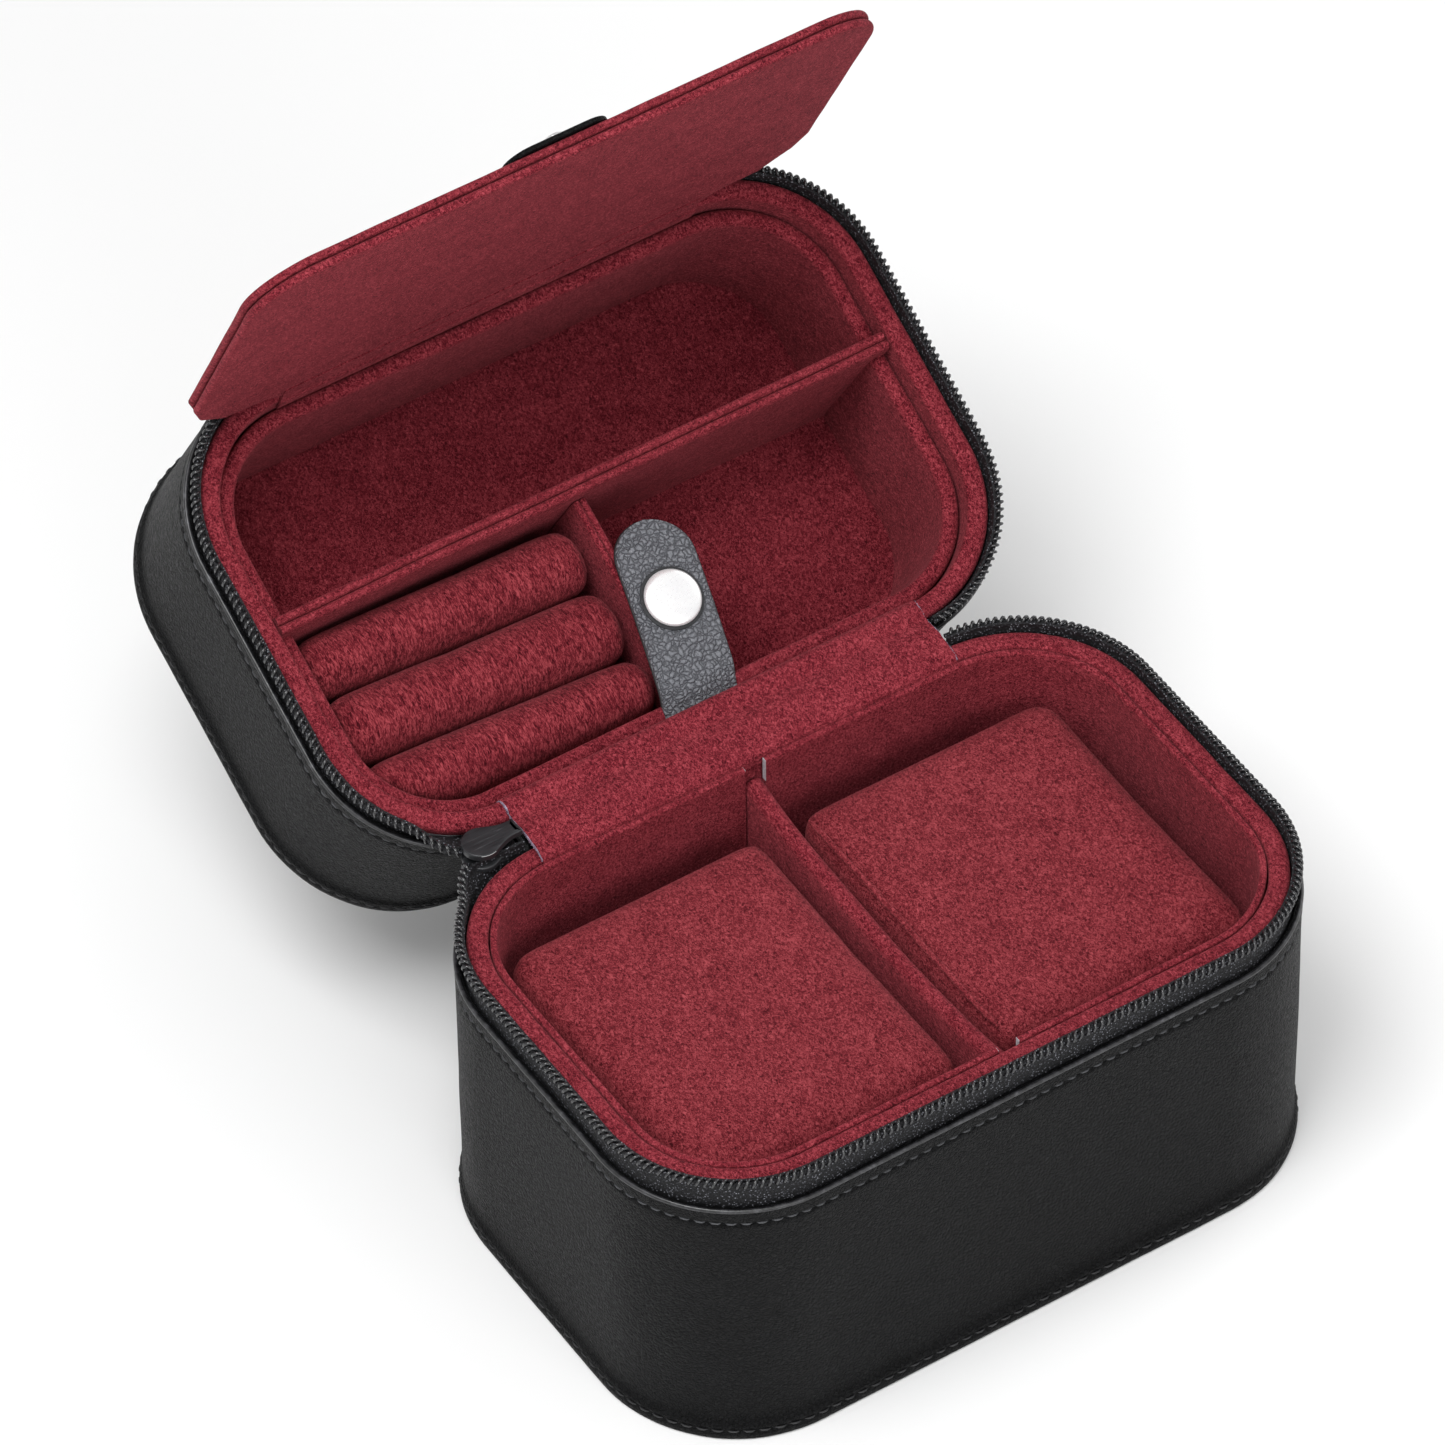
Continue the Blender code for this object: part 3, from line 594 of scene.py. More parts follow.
def add_leather_edge(half):
    """The edge-painted bead along the leather's turned edge, beside the zip; its whitish flecks are painted
    highlight.
    """
    bead = [(EDGE_BEAD_INSET + EDGE_BEAD * x, EDGE_BEAD_DEPTH + EDGE_BEAD * y) for x, y in circle(10)]
    stations = evenly(2.5 * MM, SPINE_START - 2.5 * MM, 0.9 * MM)
    rings = [[placed(half, s, inset, depth) for inset, depth in bead] for s in stations]
    make_half(half, "leather_edge", [rings], "edge")


def add_stitches(half, where, inset, depth, look):
    """Thread in dashes, with its ends drawn into the leather."""
    stitches = []
    count = round(LOOP / STITCH_PITCH)
    for i in range(count):
        line = []
        for share in (0, 0.25, 0.5, 0.75, 1):
            sunk = 0.28 * MM * (2 * share - 1) ** 4
            s = (i + 0.14 + 0.72 * share) * LOOP / count
            line.append(placed(half, s, inset + sunk, depth + 0.12 * MM * (share - 0.5)))
        stitches.append(tube(line, mm(0.12, 0.22, 0.24, 0.22, 0.12)))
    make_half(half, where + "_stitches", stitches, look)


def add_panels():
    """The leather faces under the base and on top of the lid, one hollow and the other full in the middle."""
    for half, node, crown in ((BASE, "base_bottom_panel", -0.5 * MM), (LID, "lid_top_panel", 0.7 * MM)):
        height = half.height
        edge = ((1.6, PANEL_THICK), (1.6, 0.5 * MM), (2, 0.12 * MM))
        rows = [(inset * MM, height - deep) for inset, deep in edge]
        rows += [(inset * MM, height + crown * ease((inset - 3) / 25)) for inset in (3, 6, 10, 15, 21, 28)]
        rings = [[placed(half, s, inset, depth) for s in around(1.5 * MM)] for inset, depth in rows]
        make_piece(node.replace("panel", "leather"), [rings], "leather", half.name, [node])


# Zip

def coil_tip(half):
    return 0.25 * MM - abs(ZIP_PLANE - half.edge)


def add_zip_tape(half):
    top = coil_tip(half) + 0.75 * MM
    foot = 11 * MM
    corners = [(TAPE_OUTER, top, 0.2 * MM), (TAPE_INNER, top, 0.2 * MM)]
    corners += [(TAPE_INNER, foot, 0), (TAPE_OUTER, foot, 0)]

    def shape(s, inset, depth):
        lean = ease((0.5 * MM - depth) / (0.5 * MM - top))
        cords = 0.05 * MM * sin(2 * pi * depth / (0.9 * MM))
        return inset - bridge(s) * lean + cords + 0.06 * MM * ripple((s, depth, 0), 8 * MM), depth

    profile = densified(fillet(corners, 2), 0.45 * MM)
    rings = sweep(half, profile, evenly(1.6 * MM, ZIP_END, 1 * MM), shape)
    make_half(half, "woven_tape", [rings], "tape", "zip_tape")


def add_zip_coil(half):
    """A wire wound along the tape's edge, thicker at its heads, on a stitched core."""
    points_per_turn = 12
    turn_radius = 1.15 * MM
    tip = coil_tip(half)
    line = []
    radii = []
    for i in range(int((ZIP_END - COIL_START) / COIL_PITCH) * points_per_turn):
        angle = 2 * pi * i / points_per_turn
        radius = WIRE * (1 + 0.3 * max(0, -sin(angle)))
        s = COIL_START + COIL_PITCH * (i / points_per_turn + 0.12 * cos(angle))
        depth = tip + turn_radius + (turn_radius - radius) * sin(angle)
        line.append(placed(half, s, COIL_INSET - bridge(s) + 0.72 * MM * cos(angle), depth))
        radii.append(radius)
    make_half(half, "coil_wire", [tube(line, radii, 7)], "coil", "zip_coil", 80)
    stations = evenly(COIL_START, ZIP_END, 0.8 * MM)
    line = [placed(half, s, COIL_INSET - bridge(s), tip + 1.35 * MM) for s in stations]
    core = tube(line, [0.42 * MM * (1 + 0.12 * (i % 2)) for i in range(len(line))])
    make_half(half, "coil_core", [core], "tape")


# Suede linings

def add_liner(half):
    """The padded wall and its rim, which laps over the zip's tape."""
    top = half.rim
    foot = half.height - PAD_UNDER
    under_head = top + 3 * MM
    corners = [
        (LINER_OUTER, foot, 0), (LINER_OUTER, under_head, 0), (RIM_OUTER, under_head, 0.6 * MM),
        (RIM_OUTER, top, 1.7 * MM), (LINER_INNER, top, 1.3 * MM), (LINER_INNER, foot, 0),
    ]

    def shape(s, inset, depth):
        point = track(s)[0]
        give = ripple((*point, depth), 9 * MM, 2)
        fine = ripple((*point, depth), 2.2 * MM, 8)
        sink = abs(0.10 * MM * give + 0.05 * MM * fine) * (depth < top + 1.5 * MM)
        return inset + (0.07 * MM * give if depth < under_head else 0), depth + sink

    rings = sweep(half, densified(fillet(corners, 6), 2.5 * MM), around(0.9 * MM), shape)
    make_half(half, "suede_rim", [rings], "suede", "liner", closed=True)


def add_base_insert():
    """The thin inner wall, in two parts that end at the divider's slots, with its pale core showing there."""
    front = 2 * QUARTER + RUN_Y + RUN_X / 2
    back = LOOP - RUN_X / 2
    slot = 2.5 * MM
    profile = insert_profile(BASE)
    spans = ((back + slot - LOOP, front - slot), (front + slot, back - slot))
    walls = [sweep(BASE, profile, evenly(*span, 1.2 * MM), soft_wall) for span in spans]
    make_piece("base_insert_wall", walls, "suede", "base", ["base_insert"])
    outer = INSERT_OUTER + 0.25 * MM
    inner = BASE.insert_inner - 0.2 * MM
    depths = (BASE.insert_top + 0.15 * MM, BASE.insert_top + 6 * MM)
    cores = []
    for middle in (front, back):
        for side in (-1, 1):
            s = middle + side * slot
            under = s - side * 0.12 * MM
            section = ((s, outer), (s, inner), (under, inner), (under, outer))
            cores.append([[placed(BASE, *corner, depth) for corner in section] for depth in depths])
    make_piece("base_insert_core", cores, "board", "base")


def insert_profile(half):
    foot = half.height - CONTENT_FLOOR
    soft = (half.insert_inner - INSERT_OUTER) * 0.45
    inner, top = half.insert_inner, half.insert_top
    corners = [(INSERT_OUTER, foot, 0), (INSERT_OUTER, top, soft), (inner, top, soft), (inner, foot, 0)]
    return densified(fillet(corners, 5), 3 * MM)


def soft_wall(s, inset, depth):
    """The slight unevenness of cloth over foam."""
    point = track(s)[0]
    return inset + 0.12 * MM * ripple((*point, depth), 11 * MM, 4), depth


def add_lid_insert():
    rings = sweep(LID, insert_profile(LID), around(1.2 * MM), soft_wall)
    insert = make_piece("lid_insert_wall", [rings], "suede", "lid", ["lid_insert"], closed=True)


def add_floor_pad(half):
    top = half.height - PAD_TOP
    rows = [(7.1, half.height - PAD_UNDER), (7.1, top + 0.6 * MM), (7.3, top + 0.2 * MM), (7.9, top)]
    rings = [[placed(half, s, inset * MM, depth) for s in around(2 * MM)] for inset, depth in rows]
    make_half(half, "floor_suede", [rings], "suede", "floor_pad")


# Dividers

CROSS_CENTRE = -5 * MM
CROSS_TOP = 79.8 * MM
CROSS_THICK = 4 * MM
SHORT_CENTRE = -1.5 * MM
SHORT_THICK = 3 * MM
LOW_TOP = 84.2 * MM


def divider_section(thick, top, foot, up, lobes):
    """A (side, height) section of a plate under cloth; its edge is one round or two lobes with a groove."""
    half = thick / 2
    points = [(half, foot), (-half, foot)]
    radius = half / lobes
    centres, fall, steps = ((0,), radius, 8) if lobes == 1 else ((-radius, radius), radius * 1.5, 6)
    for centre in centres:
        for k in range(steps + 1):
            angle = pi * k / steps
            points.append((centre - radius * cos(angle), top - up * fall * (1 - sin(angle))))
    return points


def add_center_divider():
    """Its ends stand up against the walls and its middle is pressed down between the pillows."""
    low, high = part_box("center_divider")
    rings = []
    for y in evenly(low.y, high.y, 1.5 * MM):
        share = (abs(y) / high.y) ** 3
        rise = 4.2 * MM * share
        thick = 3.9 * MM + 0.5 * MM * share
        wander = 0.5 * MM * ripple((0, y, 0), 30 * MM, 7)
        section = divider_section(thick, high.z + rise - 0.1 * MM, low.z, 1, 1)
        rings.append([Vector((x + wander, y, z)) for x, z in section])
    make_piece("center_divider_suede", [rings], "suede", "base", ["center_divider"])


def add_lid_dividers():
    deep = level(LID, LID.height - CONTENT_FLOOR)
    reach = CASE_WIDTH / 2 - INSERT_OUTER - 0.3 * MM
    rings = []
    for x in evenly(-reach, reach, 1.5 * MM):
        wander = 0.25 * MM * ripple((x, 0, 0), 25 * MM, 11)
        dip = 0.35 * MM * abs(ripple((x, 0, 0), 30 * MM, 13))
        section = divider_section(CROSS_THICK, CROSS_TOP + dip, deep, -1, 2)
        rings.append([LID_TURN @ Vector((x, CROSS_CENTRE + side + wander, z)) for side, z in section])
    make_piece("cross_divider_suede", [rings], "suede", "lid", ["cross_divider"])
    start = CROSS_CENTRE + CROSS_THICK / 2 + 0.3 * MM
    end = CASE_DEPTH / 2 - LID.insert_inner - 0.3 * MM
    section = divider_section(SHORT_THICK, LOW_TOP, deep, -1, 2)
    rings = []
    for y in evenly(start, end, 1.5 * MM):
        wander = 0.2 * MM * ripple((0, y, 0), 20 * MM, 17)
        rings.append([LID_TURN @ Vector((SHORT_CENTRE + side + wander, y, z)) for side, z in section])
    make_piece("short_divider_suede", [rings], "suede", "lid", ["short_divider"])


# Stuffed pieces

def stuffed(name, rings, voxel, cap, pressure=4):
    """Swells a shape as cloth over filling: remeshed, put under pressure, and held to a small movement."""
    item = new_object(name, [rings])
    remesh = item.modifiers.new("remesh", "REMESH")
    remesh.mode = "VOXEL"
    remesh.voxel_size = voxel
    settle(item)
    start = [vertex.co.copy() for vertex in item.data.vertices]
    swell(item, pressure)
    for vertex, at in zip(item.data.vertices, start):
        move = vertex.co - at
        if move.length > cap:
            vertex.co = at + move * (cap / move.length)
    subdivision = item.modifiers.new("subdivision", "SUBSURF")
    subdivision.levels = 1
    subdivision.render_levels = 1
    settle(item)
    return item


def settle(item):
    """Replaces an object's mesh by what its modifiers make of it."""
    graph = bpy.context.evaluated_depsgraph_get()
    graph.update()
    mesh = bpy.data.meshes.new_from_object(item.evaluated_get(graph))
    item.modifiers.clear()
    old = item.data
    item.data = mesh
    bpy.data.meshes.remove(old)


def swell(item, pressure):
    cloth = item.modifiers.new("cloth", "CLOTH")
    settings = cloth.settings
    settings.use_pressure = True
    settings.uniform_pressure_force = pressure
    settings.effector_weights.gravity = 0
    settings.tension_stiffness = 25
    settings.compression_stiffness = 25
    settings.bending_stiffness = 1.5
    cloth.point_cache.frame_start = 1
    cloth.point_cache.frame_end = 20
    for step in range(1, 21):
        SCENE.frame_set(step)
    settle(item)
    SCENE.frame_set(1)


def rounded_box(half_x, half_y, corners, rows):
    """Rings of a rectangle with one corner radius at its right and one at its left, from (inset, z) rows."""
    rings = []
    for inset, z in rows:
        ring = []
        for side_x, side_y, start in ((1, 1, 0), (-1, 1, 90), (-1, -1, 180), (1, -1, 270)):
            radius = max(corners[side_x < 0] - 0.6 * inset, 1 * MM)
            x = side_x * (half_x - inset - radius)
            y = side_y * (half_y - inset - radius)
            for k in range(9):
                angle = radians(start + 90 * k / 8)
                ring.append(Vector((x + radius * cos(angle), y + radius * sin(angle), z)))
        rings.append(ring)
    return rings


PILLOW_OUTER_CORNER = 5.5 * MM
PILLOW_INNER_CORNER = 4 * MM
# Insets of the sides by height over the foot, and by depth under the top, in mm
PILLOW_FOOT = ((5, 0), (0.8, 3), (0, 9))
PILLOW_TOP = ((0, 5.5), (0.4, 2.6), (1.5, 0.9), (3.4, 0.2), (9, 0))


def add_watch_pillows():
    """Stuffed blocks with flat tops, and a welt along the inner top edge of the right one."""
    for side in ("left", "right"):
        low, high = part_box("watch_pillow_" + side)
        centre = (low + high) / 2
        half_x = (high.x - low.x) / 2 - 0.2 * MM
        half_y = (high.y - low.y) / 2 - 0.1 * MM
        foot = low.z + 0.6 * MM
        top = high.z - 0.3 * MM
        rows = [(inset * MM, foot + up * MM) for inset, up in PILLOW_FOOT]
        rows += [(inset * MM, top - down * MM) for inset, down in PILLOW_TOP]
        corners = (PILLOW_OUTER_CORNER, PILLOW_INNER_CORNER)
        if side == "left":
            corners = corners[::-1]
        rings = rounded_box(half_x, half_y, corners, rows)
        rings = [[point + Vector((centre.x, centre.y, 0)) for point in ring] for ring in rings]
        pillow = stuffed(f"watch_pillow_{side}_suede", rings, 2.2 * MM, 0.5 * MM, 3)
        finish_piece(pillow, "plush", "pillow_" + side, ["watch_pillow_" + side], 80)
    line = []
    for y in evenly(low.y + 4 * MM, high.y - 4 * MM, 1.5 * MM):
        sway = 0.25 * MM * ripple((0, y, 0), 8 * MM, 29)
        line.append(Vector((low.x + 1.2 * MM + sway, y, top - 0.1 * MM)))
    thick = [0.62 * MM * min(1, 0.3 + 0.4 * min(i, len(line) - 1 - i)) for i in range(len(line))]
    make_piece("watch_pillow_right_welt", [tube(line, thick, 10)], "plush", "pillow_right")


# Where the rolls start, meet and end across the lid, in mm, at their left and right ends: they lie askew
ROLL_EDGES = ((-2.4, 11, 26.2, 41), (-0.9, 13.6, 29.4, 41.9))
ROLL_GAP = 0.45 * MM
ROLL_DOME = 7.4 * MM
ROLL_STEPS = 40


def add_ring_rolls():
    deep = level(LID, LID.height - CONTENT_FLOOR)
    x_high = SHORT_CENTRE - SHORT_THICK / 2 - 2 * MM
    for i in range(3):
        rings = []
        for k in range(ROLL_STEPS + 1):
            share = k / ROLL_STEPS
            y_low, y_high = [(a[j] + (b[j] - a[j]) * share) * MM for a, b in [ROLL_EDGES] for j in (i, i + 1)]
            half = (y_high - y_low - ROLL_GAP) / 2
            round_off = sqrt(max(0, 1 - (2 * share - 1) ** 18))
            top = LOW_TOP + 0.4 * MM + 1 * MM * share + 2.6 * MM * (1 - round_off)
            ring = []
            for side, z in roll_section(half * (0.80 + 0.20 * round_off), top, deep - 0.4 * MM):
                y = (y_low + y_high) / 2 + side
                x_low = roll_end(y) + 0.5 * MM
                ring.append(LID_TURN @ Vector((x_low + (x_high - x_low) * share, y, z)))
            rings.append(ring)
        roll = stuffed(f"ring_roll_{i + 1}_suede", rings, 1.7 * MM, 0.3 * MM)
        finish_piece(roll, "pile", "lid", [f"ring_roll_{i + 1}"], 80)


def roll_end(y):
    """The lid insert's inner face at the rolls' left ends."""
    radius = CORNER - LID.insert_inner
    beyond = max(0, y - RUN_Y / 2)
    return -RUN_X / 2 - sqrt(max(radius ** 2 - beyond ** 2, 0))


def roll_section(half, top, deep):
    points = [(half, deep), (-half, deep)]
    for k in range(13):
        angle = pi * k / 12
        points.append((-half * cos(angle), top + ROLL_DOME * (1 - sin(angle))))
    return points


# Flap

FLAP_HALF = 73 * MM
FLAP_LENGTH = 80 * MM
FLAP_LAYER = 1.75 * MM
FLAP_GROOVE = 0.3 * MM


def flap_outline():
    """Anticlockwise, flat: x across, y from the hinge; narrower where it passes the zip's corners."""
    radius = 14 * MM
    right = [Vector(p) * MM for p in ((50, 1), (54, 3.6), (64, 4.3), (70.5, 10), (73, 16))]
    centre = Vector((FLAP_HALF - radius, FLAP_LENGTH - radius))
    right += [centre + radius * unit(angle) for angle in range(0, 91, 6)]
    return densified(right + [Vector((-p.x, p.y)) for p in reversed(right)], 1.6 * MM)


def add_flap():
    place = FLAP_TURN @ Matrix.Translation(FLAP_AXIS)
    outline = flap_outline()
    seam = -FLAP_LAYER
    outer = seam - FLAP_GROOVE
    for name, low, high in (("inner", seam, 0), ("outer", outer - FLAP_LAYER, outer)):
        rings = slab(place, outline, plate_rows(low, high, 0.80 * MM, 5), 0.10 * MM)
        panel = make_piece(f"flap_{name}_suede", [rings], "suede", "flap", [f"flap_{name}_panel"], 60)
    rows = [(inset * MM, seam + z * MM) for inset, z in ((1.5, -0.5), (1.1, -0.15), (1.5, 0.2))]
    make_piece("flap_edge_welt", [slab(place, outline, rows)], "suede", "flap")
    add_flap_snap(place, outer - FLAP_LAYER)


def add_flap_snap(place, outer):
    """A stitched leather patch with the stud, on the flap's outer face."""
    near = outer - 0.15 * MM
    far = near - 1.05 * MM
    outline = densified(patch_outline(*mm(12, 8.5, 5.5)), 1 * MM)
    patch = slab(place, outline, plate_rows(far, near, 0.3 * MM))
    make_piece("flap_snap_leather", [patch], "leather", "flap", ["flap_snap_patch"])
    path = densified(patch_outline(*mm(10.6, 7.1, 4.4)), 0.5 * MM)
    stitches = []
    for i in range(0, len(path) - 4, 5):
        line = [place @ Vector((p.x, p.y, far + 0.02 * MM)) for p in path[i : i + 4]]
        stitches.append(tube(line, mm(0.12, 0.2, 0.2, 0.12), 5))
    make_piece("flap_snap_stitches", stitches, "dark_thread", "flap")
    stud = place @ Matrix.Translation((0, 71.5 * MM, far - 0.25 * MM))
    rows = [(0.4, -2.2), (1.5, -2.15), (2.1, -1.9), (2.35, -1.5), (2.1, -1), (2, -0.8)]
    rows += [(4.4, -0.62), (4.75, -0.35), (4.8, 0)]
    make_turned("flap_snap_post", stud, rows, 40, "chrome", "flap", ["flap_snap_stud"])


def patch_outline(half_x, half_y, radius):
    ring = rounded_box(half_x, half_y, (radius, radius), [(0, 0)])[0]
    return [point.xy + Vector((-2, 72.2)) * MM for point in ring]


def add_flap_hinge():
    """The lining that turns from the lid's far wall onto the flap."""
    wall = -CASE_DEPTH / 2 + LINER_INNER
    path = ((0.45, 83.5), (0.45, 80.6), (0.1, 79.4), (-0.1, 77.8), (-0.35, 74.5))
    line = smoothed([(wall + y * MM, z * MM) for y, z in path], 5)
    section = strip_section(line, 0.5 * MM)
    stations = evenly(-SPINE_HALF, SPINE_HALF, 2 * MM)
    rings = [[LID_TURN @ Vector((x, y, z)) for y, z in section] for x in stations]
    strip = make_piece("flap_hinge_suede", [rings], "suede", None, ["flap_hinge_strip"], 60)
    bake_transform(strip)


def strip_section(line, thick):
    """A closed (y, z) section of constant thickness along a line."""
    sides = []
    for i in range(len(line)):
        along = heading(line, i)
        sides.append(Vector((-along.y, along.x)) * thick / 2)
    one = [point + side for point, side in zip(line, sides)]
    other = [point - side for point, side in zip(line, sides)]
    return one + other[::-1]


# Strap

STRAP_LENGTH = 38 * MM
STRAP_HALF = 8.5 * MM
STRAP_THICK = 1.8 * MM
STRAP_LEAN = radians(10.5)
SNAP_ALONG = 20.5 * MM
SLANT_LENGTH = 12 * MM


def strap_place():
    """Local x across the strap, y along it from the root, z up out of the lid."""
    across = Vector((cos(STRAP_LEAN), sin(STRAP_LEAN), 0))
    along = Vector((sin(STRAP_LEAN), -cos(STRAP_LEAN), 0))
    up = Vector((0, 0, -1))
    axes = Matrix((across, along, up)).transposed().to_4x4()
    return LID_TURN @ Matrix.Translation(STRAP_AXIS) @ axes


def strap_rise(y):
    """The strap's bow: down into the lid at its root, up in the middle, and down again at the tip."""
    root = -2 * MM * (1 - ease((y + 1.5 * MM) / (6 * MM)))
    bow = 0.9 * MM * sin(pi * min(max(y, 0) / STRAP_LENGTH, 1))
    return root + bow - 0.4 * MM * ease((y - 30 * MM) / (8 * MM))


def strap_point(place, x, y, z):
    """A point of the strap, bowed, and slanted near its root so that it leaves the lid squarely."""
    slant = tan(STRAP_LEAN) * ease(1 - y / SLANT_LENGTH)
    return place @ Vector((x, y + slant * x, z + strap_rise(y)))


def add_strap():
    place = strap_place()
    straight = STRAP_LENGTH - STRAP_HALF
    stations = evenly(-1.2 * MM, straight, 1 * MM)
    for angle in (8, 16, 24, 32, 40, 48, 56, 64, 71, 77, 82, 86, 88.5):
        stations.append(straight + STRAP_HALF * sin(radians(angle)))
    thick = STRAP_THICK / 2
    rings = []
    for y in stations:
        beyond = max(0, y - straight)
        half = sqrt(STRAP_HALF ** 2 - beyond ** 2)
        soft = min(0.7 * MM, half * 0.6)
        corners = ((half, -thick), (half, thick), (-half, thick), (-half, -thick))
        section = spread_across(fillet([(x, z, soft) for x, z in corners], 5))
        rings.append([strap_point(place, x, y, z - 0.25 * MM * (x / STRAP_HALF) ** 2) for x, z in section])
    make_piece("strap_pebbled_leather", [rings], "strap", "strap", ["strap"])
    add_strap_edge(place, straight)
    seat = place @ Matrix.Translation((0, SNAP_ALONG, strap_rise(SNAP_ALONG)))
    face = seat @ Matrix.Translation((0, 0, thick))
    cap = [(5.5, -0.15), (5.6, 0.15), (5.85, 0.25), (6.05, 0.45), (6.02, 0.78)]
    cap += [(5.7, 1.12), (5, 1.38), (3.8, 1.52), (2, 1.60), (0.3, 1.62)]
    make_turned("strap_snap_dome", face, cap, 64, "cap", "strap", ["strap_snap_cap"])
    washer = [(6.3, -0.1), (6.75, 0.06), (6.7, 0.2), (6.3, 0.26), (5.6, 0.2), (5.3, -0.1)]
    make_turned("strap_snap_washer", face, washer, 64, "slider", "strap")
    back = seat @ Matrix.Translation((0, 0, -thick - 0.05 * MM))
    socket = [(1.6, -1.3), (3.2, -1.35), (3.7, -1.15), (4.2, -0.8), (4.4, -0.5), (4.4, 0)]
    make_turned("strap_snap_spring", back, socket, 40, "chrome", "strap", ["strap_snap_socket"])


def add_strap_edge(place, straight):
    """The dark paint on the strap's cut edge."""
    inset = STRAP_HALF - 0.10 * MM
    side = evenly(1.5 * MM, straight, 1.5 * MM)[:-1]
    path = [(inset, y) for y in side]
    path += [inset * unit(angle) + Vector((0, straight)) for angle in range(0, 181, 9)]
    path += [(-inset, y) for y in reversed(side)]
    line = [strap_point(place, x, y, -0.30 * MM) for x, y in path]
    make_piece("strap_painted_edge", [tube(line, [0.34 * MM] * len(line), 8)], "dark_thread", "strap")


def spread_across(ring, count=6):
    """Adds points along the two broad sides of a strap's section, so that it can cup."""
    dense = []
    for i, point in enumerate(ring):
        dense.append(point)
        if i + 1 in (len(ring) // 2, len(ring)):
            after = ring[(i + 1) % len(ring)]
            dense += [point.lerp(after, k / count) for k in range(1, count)]
    return dense


# Spine

def spine_line(on_base, on_lid):
    """A (y, z) line over the spine, from points in mm on the base and on the closed lid."""
    line = [tuple(mm(*point)) for point in on_base]
    for y, z in on_lid:
        point = LID_TURN @ Vector(mm(0, y, z))
        line.append((point.y, point.z))
    return line


def add_spine():
    """The leather and the suede that join the halves, shaped round to the open lid."""
    cover = spine_line(
        ((51.2, 58), (51.2, 66), (51.3, 70.5), (52.3, 73)),
        ((52.5, 79.2), (51.3, 81.4), (51.2, 85), (51.2, 92)))
    add_spine_cloth("spine_leather", cover, 0.7 * MM, "leather", "spine_cover")
    lining = spine_line(
        ((46, 71.8), (46.3, 73.7), (48.2, 74.6), (50.6, 75), (53.4, 75.6)),
        ((50.8, 78.8), (48.6, 78.8), (46.9, 79.3), (46.1, 80.8), (46, 84)))
    add_spine_cloth("spine_suede", lining, 0.8 * MM, "suede", "spine_lining")
    add_fringe(lining)


def bend_at_spine(piece):
    """Bakes a piece's placement into its mesh."""
    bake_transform(piece)


def add_spine_cloth(name, line, thick, look, node):
    curve = smoothed(line, 6)
    section = strip_section(curve, thick)
    rings = []
    for x in evenly(-SPINE_HALF, SPINE_HALF, 1.6 * MM):
        at_end = ease((abs(x) - SPINE_HALF + 2 * MM) / (2 * MM))
        ring = []
        for y, z in section:
            frayed = 0.22 * MM * ripple((0, y, z), 1.3 * MM, copysign(19, x)) * at_end
            lift = 0.09 * MM * ripple((x, y, z), 10 * MM, 23)
            ring.append(Vector((x + frayed, y, z + lift)))
        rings.append(ring)
    cloth = make_piece(name, [rings], look, None, [node], 60)
    bend_at_spine(cloth)


def add_fringe(line):
    """Backing threads that stand out of the lining's cut ends, and the pale cut itself."""
    half_thick = 0.32 * MM
    curve = smoothed(line, 10)[8:-8]
    stacks = []
    for side in (-1, 1):
        for i, (y, z) in enumerate(curve):
            for k in range(2):
                seed = i * 2.3 + k * 5.1 + side
                length = (0.45 + 0.4 * abs(ripple((seed, 0, 0), 1, 3))) * MM
                aim = Vector((side, 0.5 * ripple((seed, 1, 0), 1), 0.35 * ripple((seed, 2, 0), 1)))
                root = Vector((side * (SPINE_HALF - 0.25 * MM), y, z + (k - 0.5) * 0.4 * MM))
                thread = [root + aim * length * share for share in (0, 0.5, 1)]
                stacks.append(tube(thread, mm(0.09, 0.07, 0.03), 4))
        outer = side * (SPINE_HALF + 0.06 * MM)
        inner = outer - side * 0.2 * MM
        section = ((outer, -half_thick), (outer, half_thick), (inner, half_thick), (inner, -half_thick))
        stacks.append([[Vector((x, y, z + rise)) for x, rise in section] for y, z in curve])
    fringe = make_piece("spine_cut_threads", stacks, "fringe", None)
    bend_at_spine(fringe)


# Slider

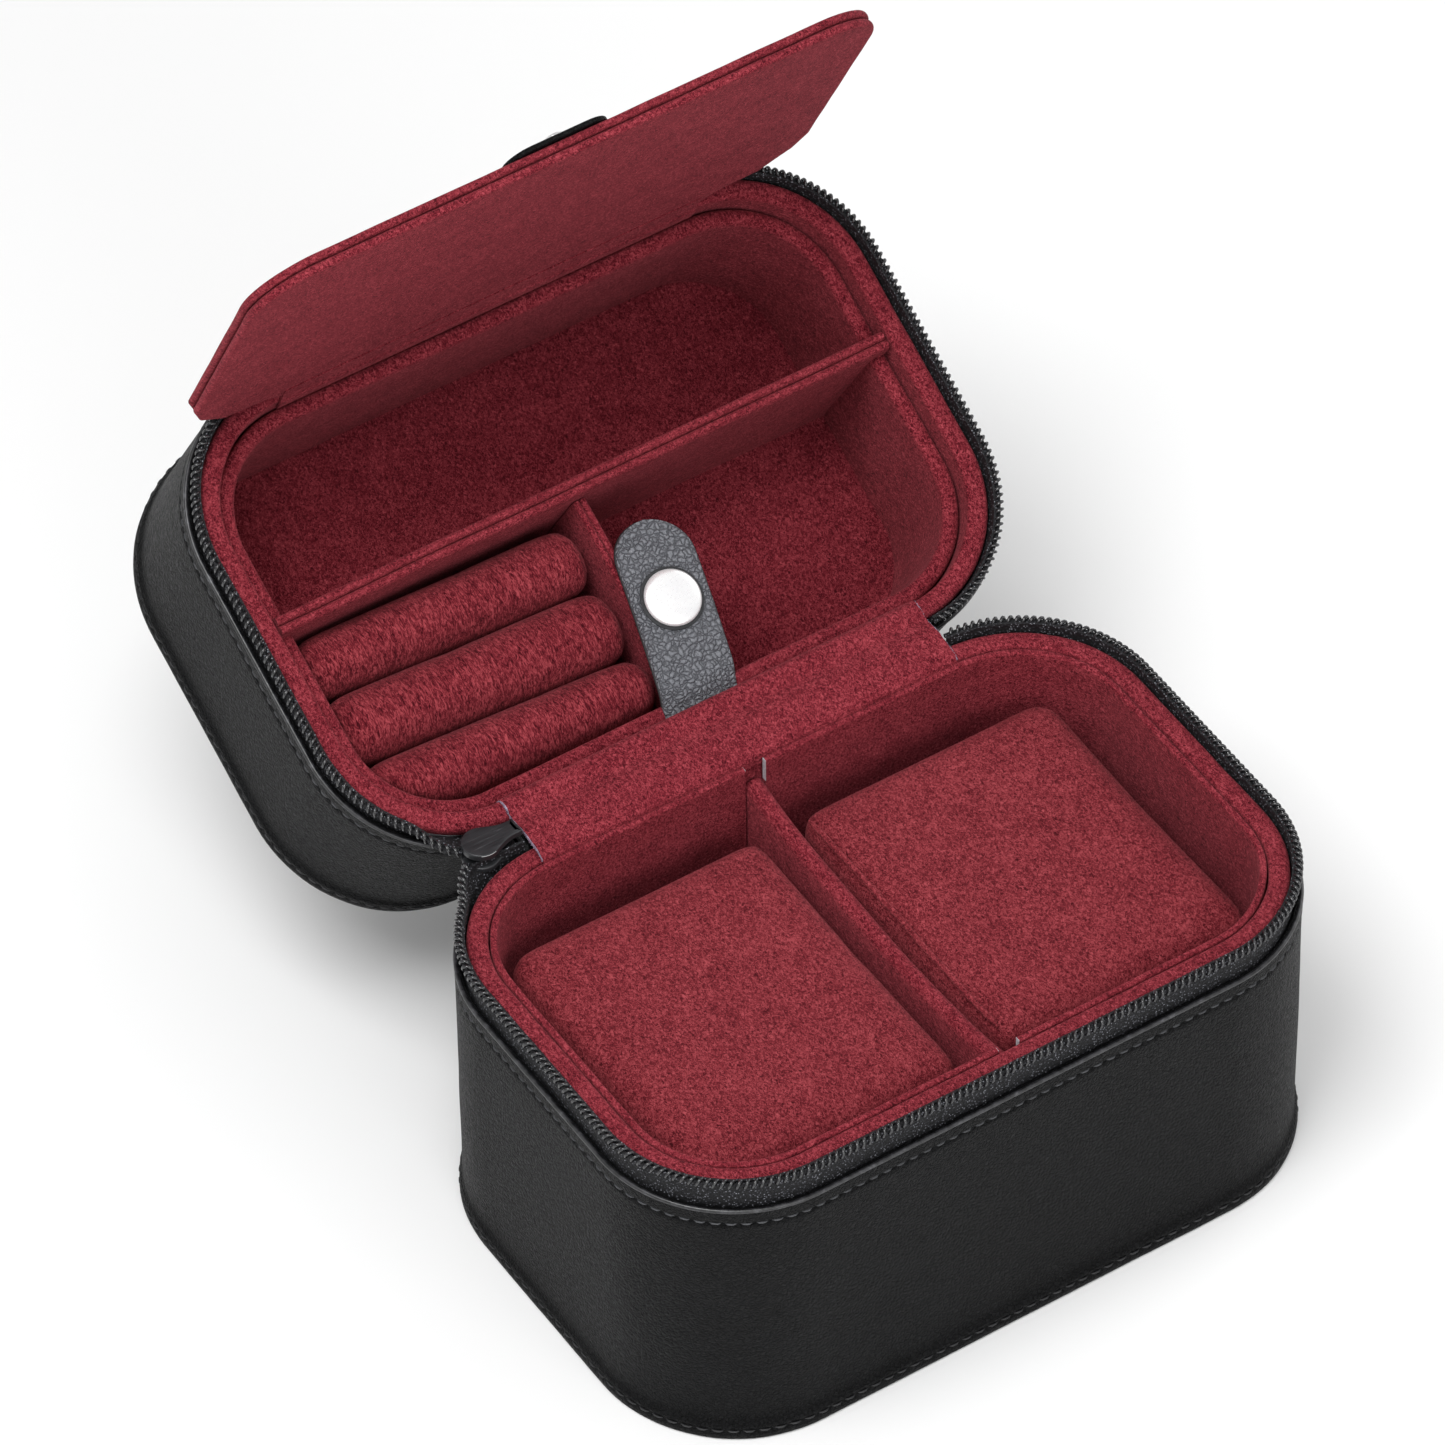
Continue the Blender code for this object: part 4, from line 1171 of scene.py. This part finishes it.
def add_slider():
    """A flat shield-shaped upper plate with a chrome line along its lower edge as painted highlight, a lower
    plate, and the post between them.
    """
    low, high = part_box("zip_slider")
    centre = Vector((low.x + 4.1 * MM, (low.y + high.y) / 2))
    front = [4 * MM * unit(angle) for angle in range(180, 301, 12)]
    tail = [Vector(p) * MM for p in ((4.2, -2.5), (6.2, -1.95), (8.6, -1.9))]
    front = [centre + p for p in front + smoothed([front[-1], *tail], 4)[1:]]
    back = [Vector((p.x, 2 * centre.y - p.y)) for p in reversed(front[1:])]
    outline = densified(front + back, 0.8 * MM)
    still = Matrix.Identity(4)
    post = Matrix.Translation((centre.x + 2 * MM, centre.y, 0))
    stacks = [
        slab(still, outline, plate_rows(high.z - 1.6 * MM, high.z, 0.3 * MM)),
        slab(still, outline, plate_rows(low.z, low.z + 1.3 * MM, 0.3 * MM)),
        turned(post, [(1.3 * MM, low.z + 1 * MM), (1.3 * MM, high.z - 1.2 * MM)], 16),
    ]
    for k in (-1, 0, 1):
        y = centre.y + 1.3 * MM * k
        line = [Vector((centre.x + x * MM, y, high.z - 0.03 * MM)) for x in (-2.6, -1.5, 1.5, 4.5, 6.4)]
        stacks.append(tube(line, mm(0.03, 0.08, 0.09, 0.08, 0.03)))
    make_piece("slider_plates", stacks, "slider", "base", ["zip_slider"], 45)
    # Painted highlight: a thin chrome line along the upper plate's lower front edge stands in for that edge's
    # highlight.
    highlight_points = [centre + (p - centre) * 0.99 for p in front[5:10]]
    line = [Vector((p.x, p.y, high.z - 0.2 * MM)) for p in highlight_points]
    make_piece("slider_edge_highlight_line", [tube(line, [0.08 * MM] * len(line))], "chrome", "base")
    for node in ("zip_slider_bail", "zip_pull"):
        dress(node, "slider", 0.18 * MM)


def dress(node, look, bevel=0):
    """A solid that keeps its own shape, in its proper finish and with softened edges."""
    item = frame["nodes"][node]
    item.data.materials.clear()
    item.data.materials.append(LOOKS[look].material)
    if bevel:
        modifier = item.modifiers.new("soft_edges", "BEVEL")
        modifier.width = bevel
        modifier.segments = 3
        modifier.limit_method = "ANGLE"
        modifier.angle_limit = radians(40)


# Stage

def add_stage():
    size = 3
    corners = [(x * size, y * size, 0) for x, y in ((-1, -1), (1, -1), (1, 1), (-1, 1))]
    mesh = bpy.data.meshes.new("floor")
    mesh.from_pydata(corners, [], [(0, 1, 2, 3)])
    floor = linked("floor", mesh)
    floor.location.z = -0.2 * MM
    paper = bpy.data.materials.new("white_paper")
    paper.use_nodes = True
    shader = paper.node_tree.nodes["Principled BSDF"]
    shader.inputs["Base Color"].default_value = (0.85, 0.85, 0.85, 1)
    shader.inputs["Roughness"].default_value = 0.9
    mesh.materials.append(paper)


def add_light(name, place, target, size, power):
    lamp = bpy.data.lights.new(name, "AREA")
    lamp.shape = "RECTANGLE"
    lamp.size, lamp.size_y = size
    lamp.energy = power
    item = linked(name, lamp)
    item.location = place
    item.rotation_euler = (Vector(target) - Vector(place)).to_track_quat("-Z", "Y").to_euler()


def add_studio():
    centre = (0, 0.05, 0.07)
    add_light("key_softbox", (-0.45, -0.15, 1.2), centre, (0.6, 0.6), 11)
    add_light("front_fill", (-0.2, -1.4, 0.75), centre, (1.4, 0.8), 9)
    add_light("right_fill", (1.3, 0.2, 0.7), centre, (1, 0.9), 4)
    world = bpy.data.worlds.new("studio")
    world.use_nodes = True
    sky = world.node_tree.nodes["Background"]
    sky.inputs["Color"].default_value = (1, 1, 1, 1)
    sky.inputs["Strength"].default_value = 0.6
    SCENE.world = world
    SCENE.view_settings.view_transform = "Standard"


def add_camera():
    """A long lens at the photograph's viewing angle."""
    azimuth = radians(-32.7)
    elevation = radians(46.7)
    roll = radians(-0.76)
    target = Vector((-0.00182, 0.05186, 0.08021))
    distance = 2.406
    flat = cos(elevation)
    back = Vector((sin(azimuth) * flat, -cos(azimuth) * flat, sin(elevation)))
    right = Vector((cos(azimuth), sin(azimuth), 0))
    across = cos(roll) * right + sin(roll) * back.cross(right)
    camera = bpy.data.cameras.new("camera")
    camera.sensor_width = 36
    camera.lens = 300
    camera.shift_x = -0.0035
    camera.clip_end = 20
    item = linked("camera", camera)
    axes = Matrix((across, back.cross(across), back)).transposed().to_4x4()
    item.matrix_world = Matrix.Translation(target + distance * back) @ axes
    SCENE.camera = item


def for_both(add):
    for half in HALVES:
        add(half)


def build():
    for_both(add_leather_wall)
    add_panels()
    for_both(add_zip_tape)
    for_both(add_zip_coil)
    for_both(add_liner)
    add_base_insert()
    add_lid_insert()
    for_both(add_floor_pad)
    add_center_divider()
    add_lid_dividers()
    add_watch_pillows()
    add_ring_rolls()
    add_flap()
    add_flap_hinge()
    add_strap()
    add_spine()
    add_slider()
    for node in ("base_board", "lid_board"):
        dress(node, "board")
    add_stage()
    add_studio()
    add_camera()


build()
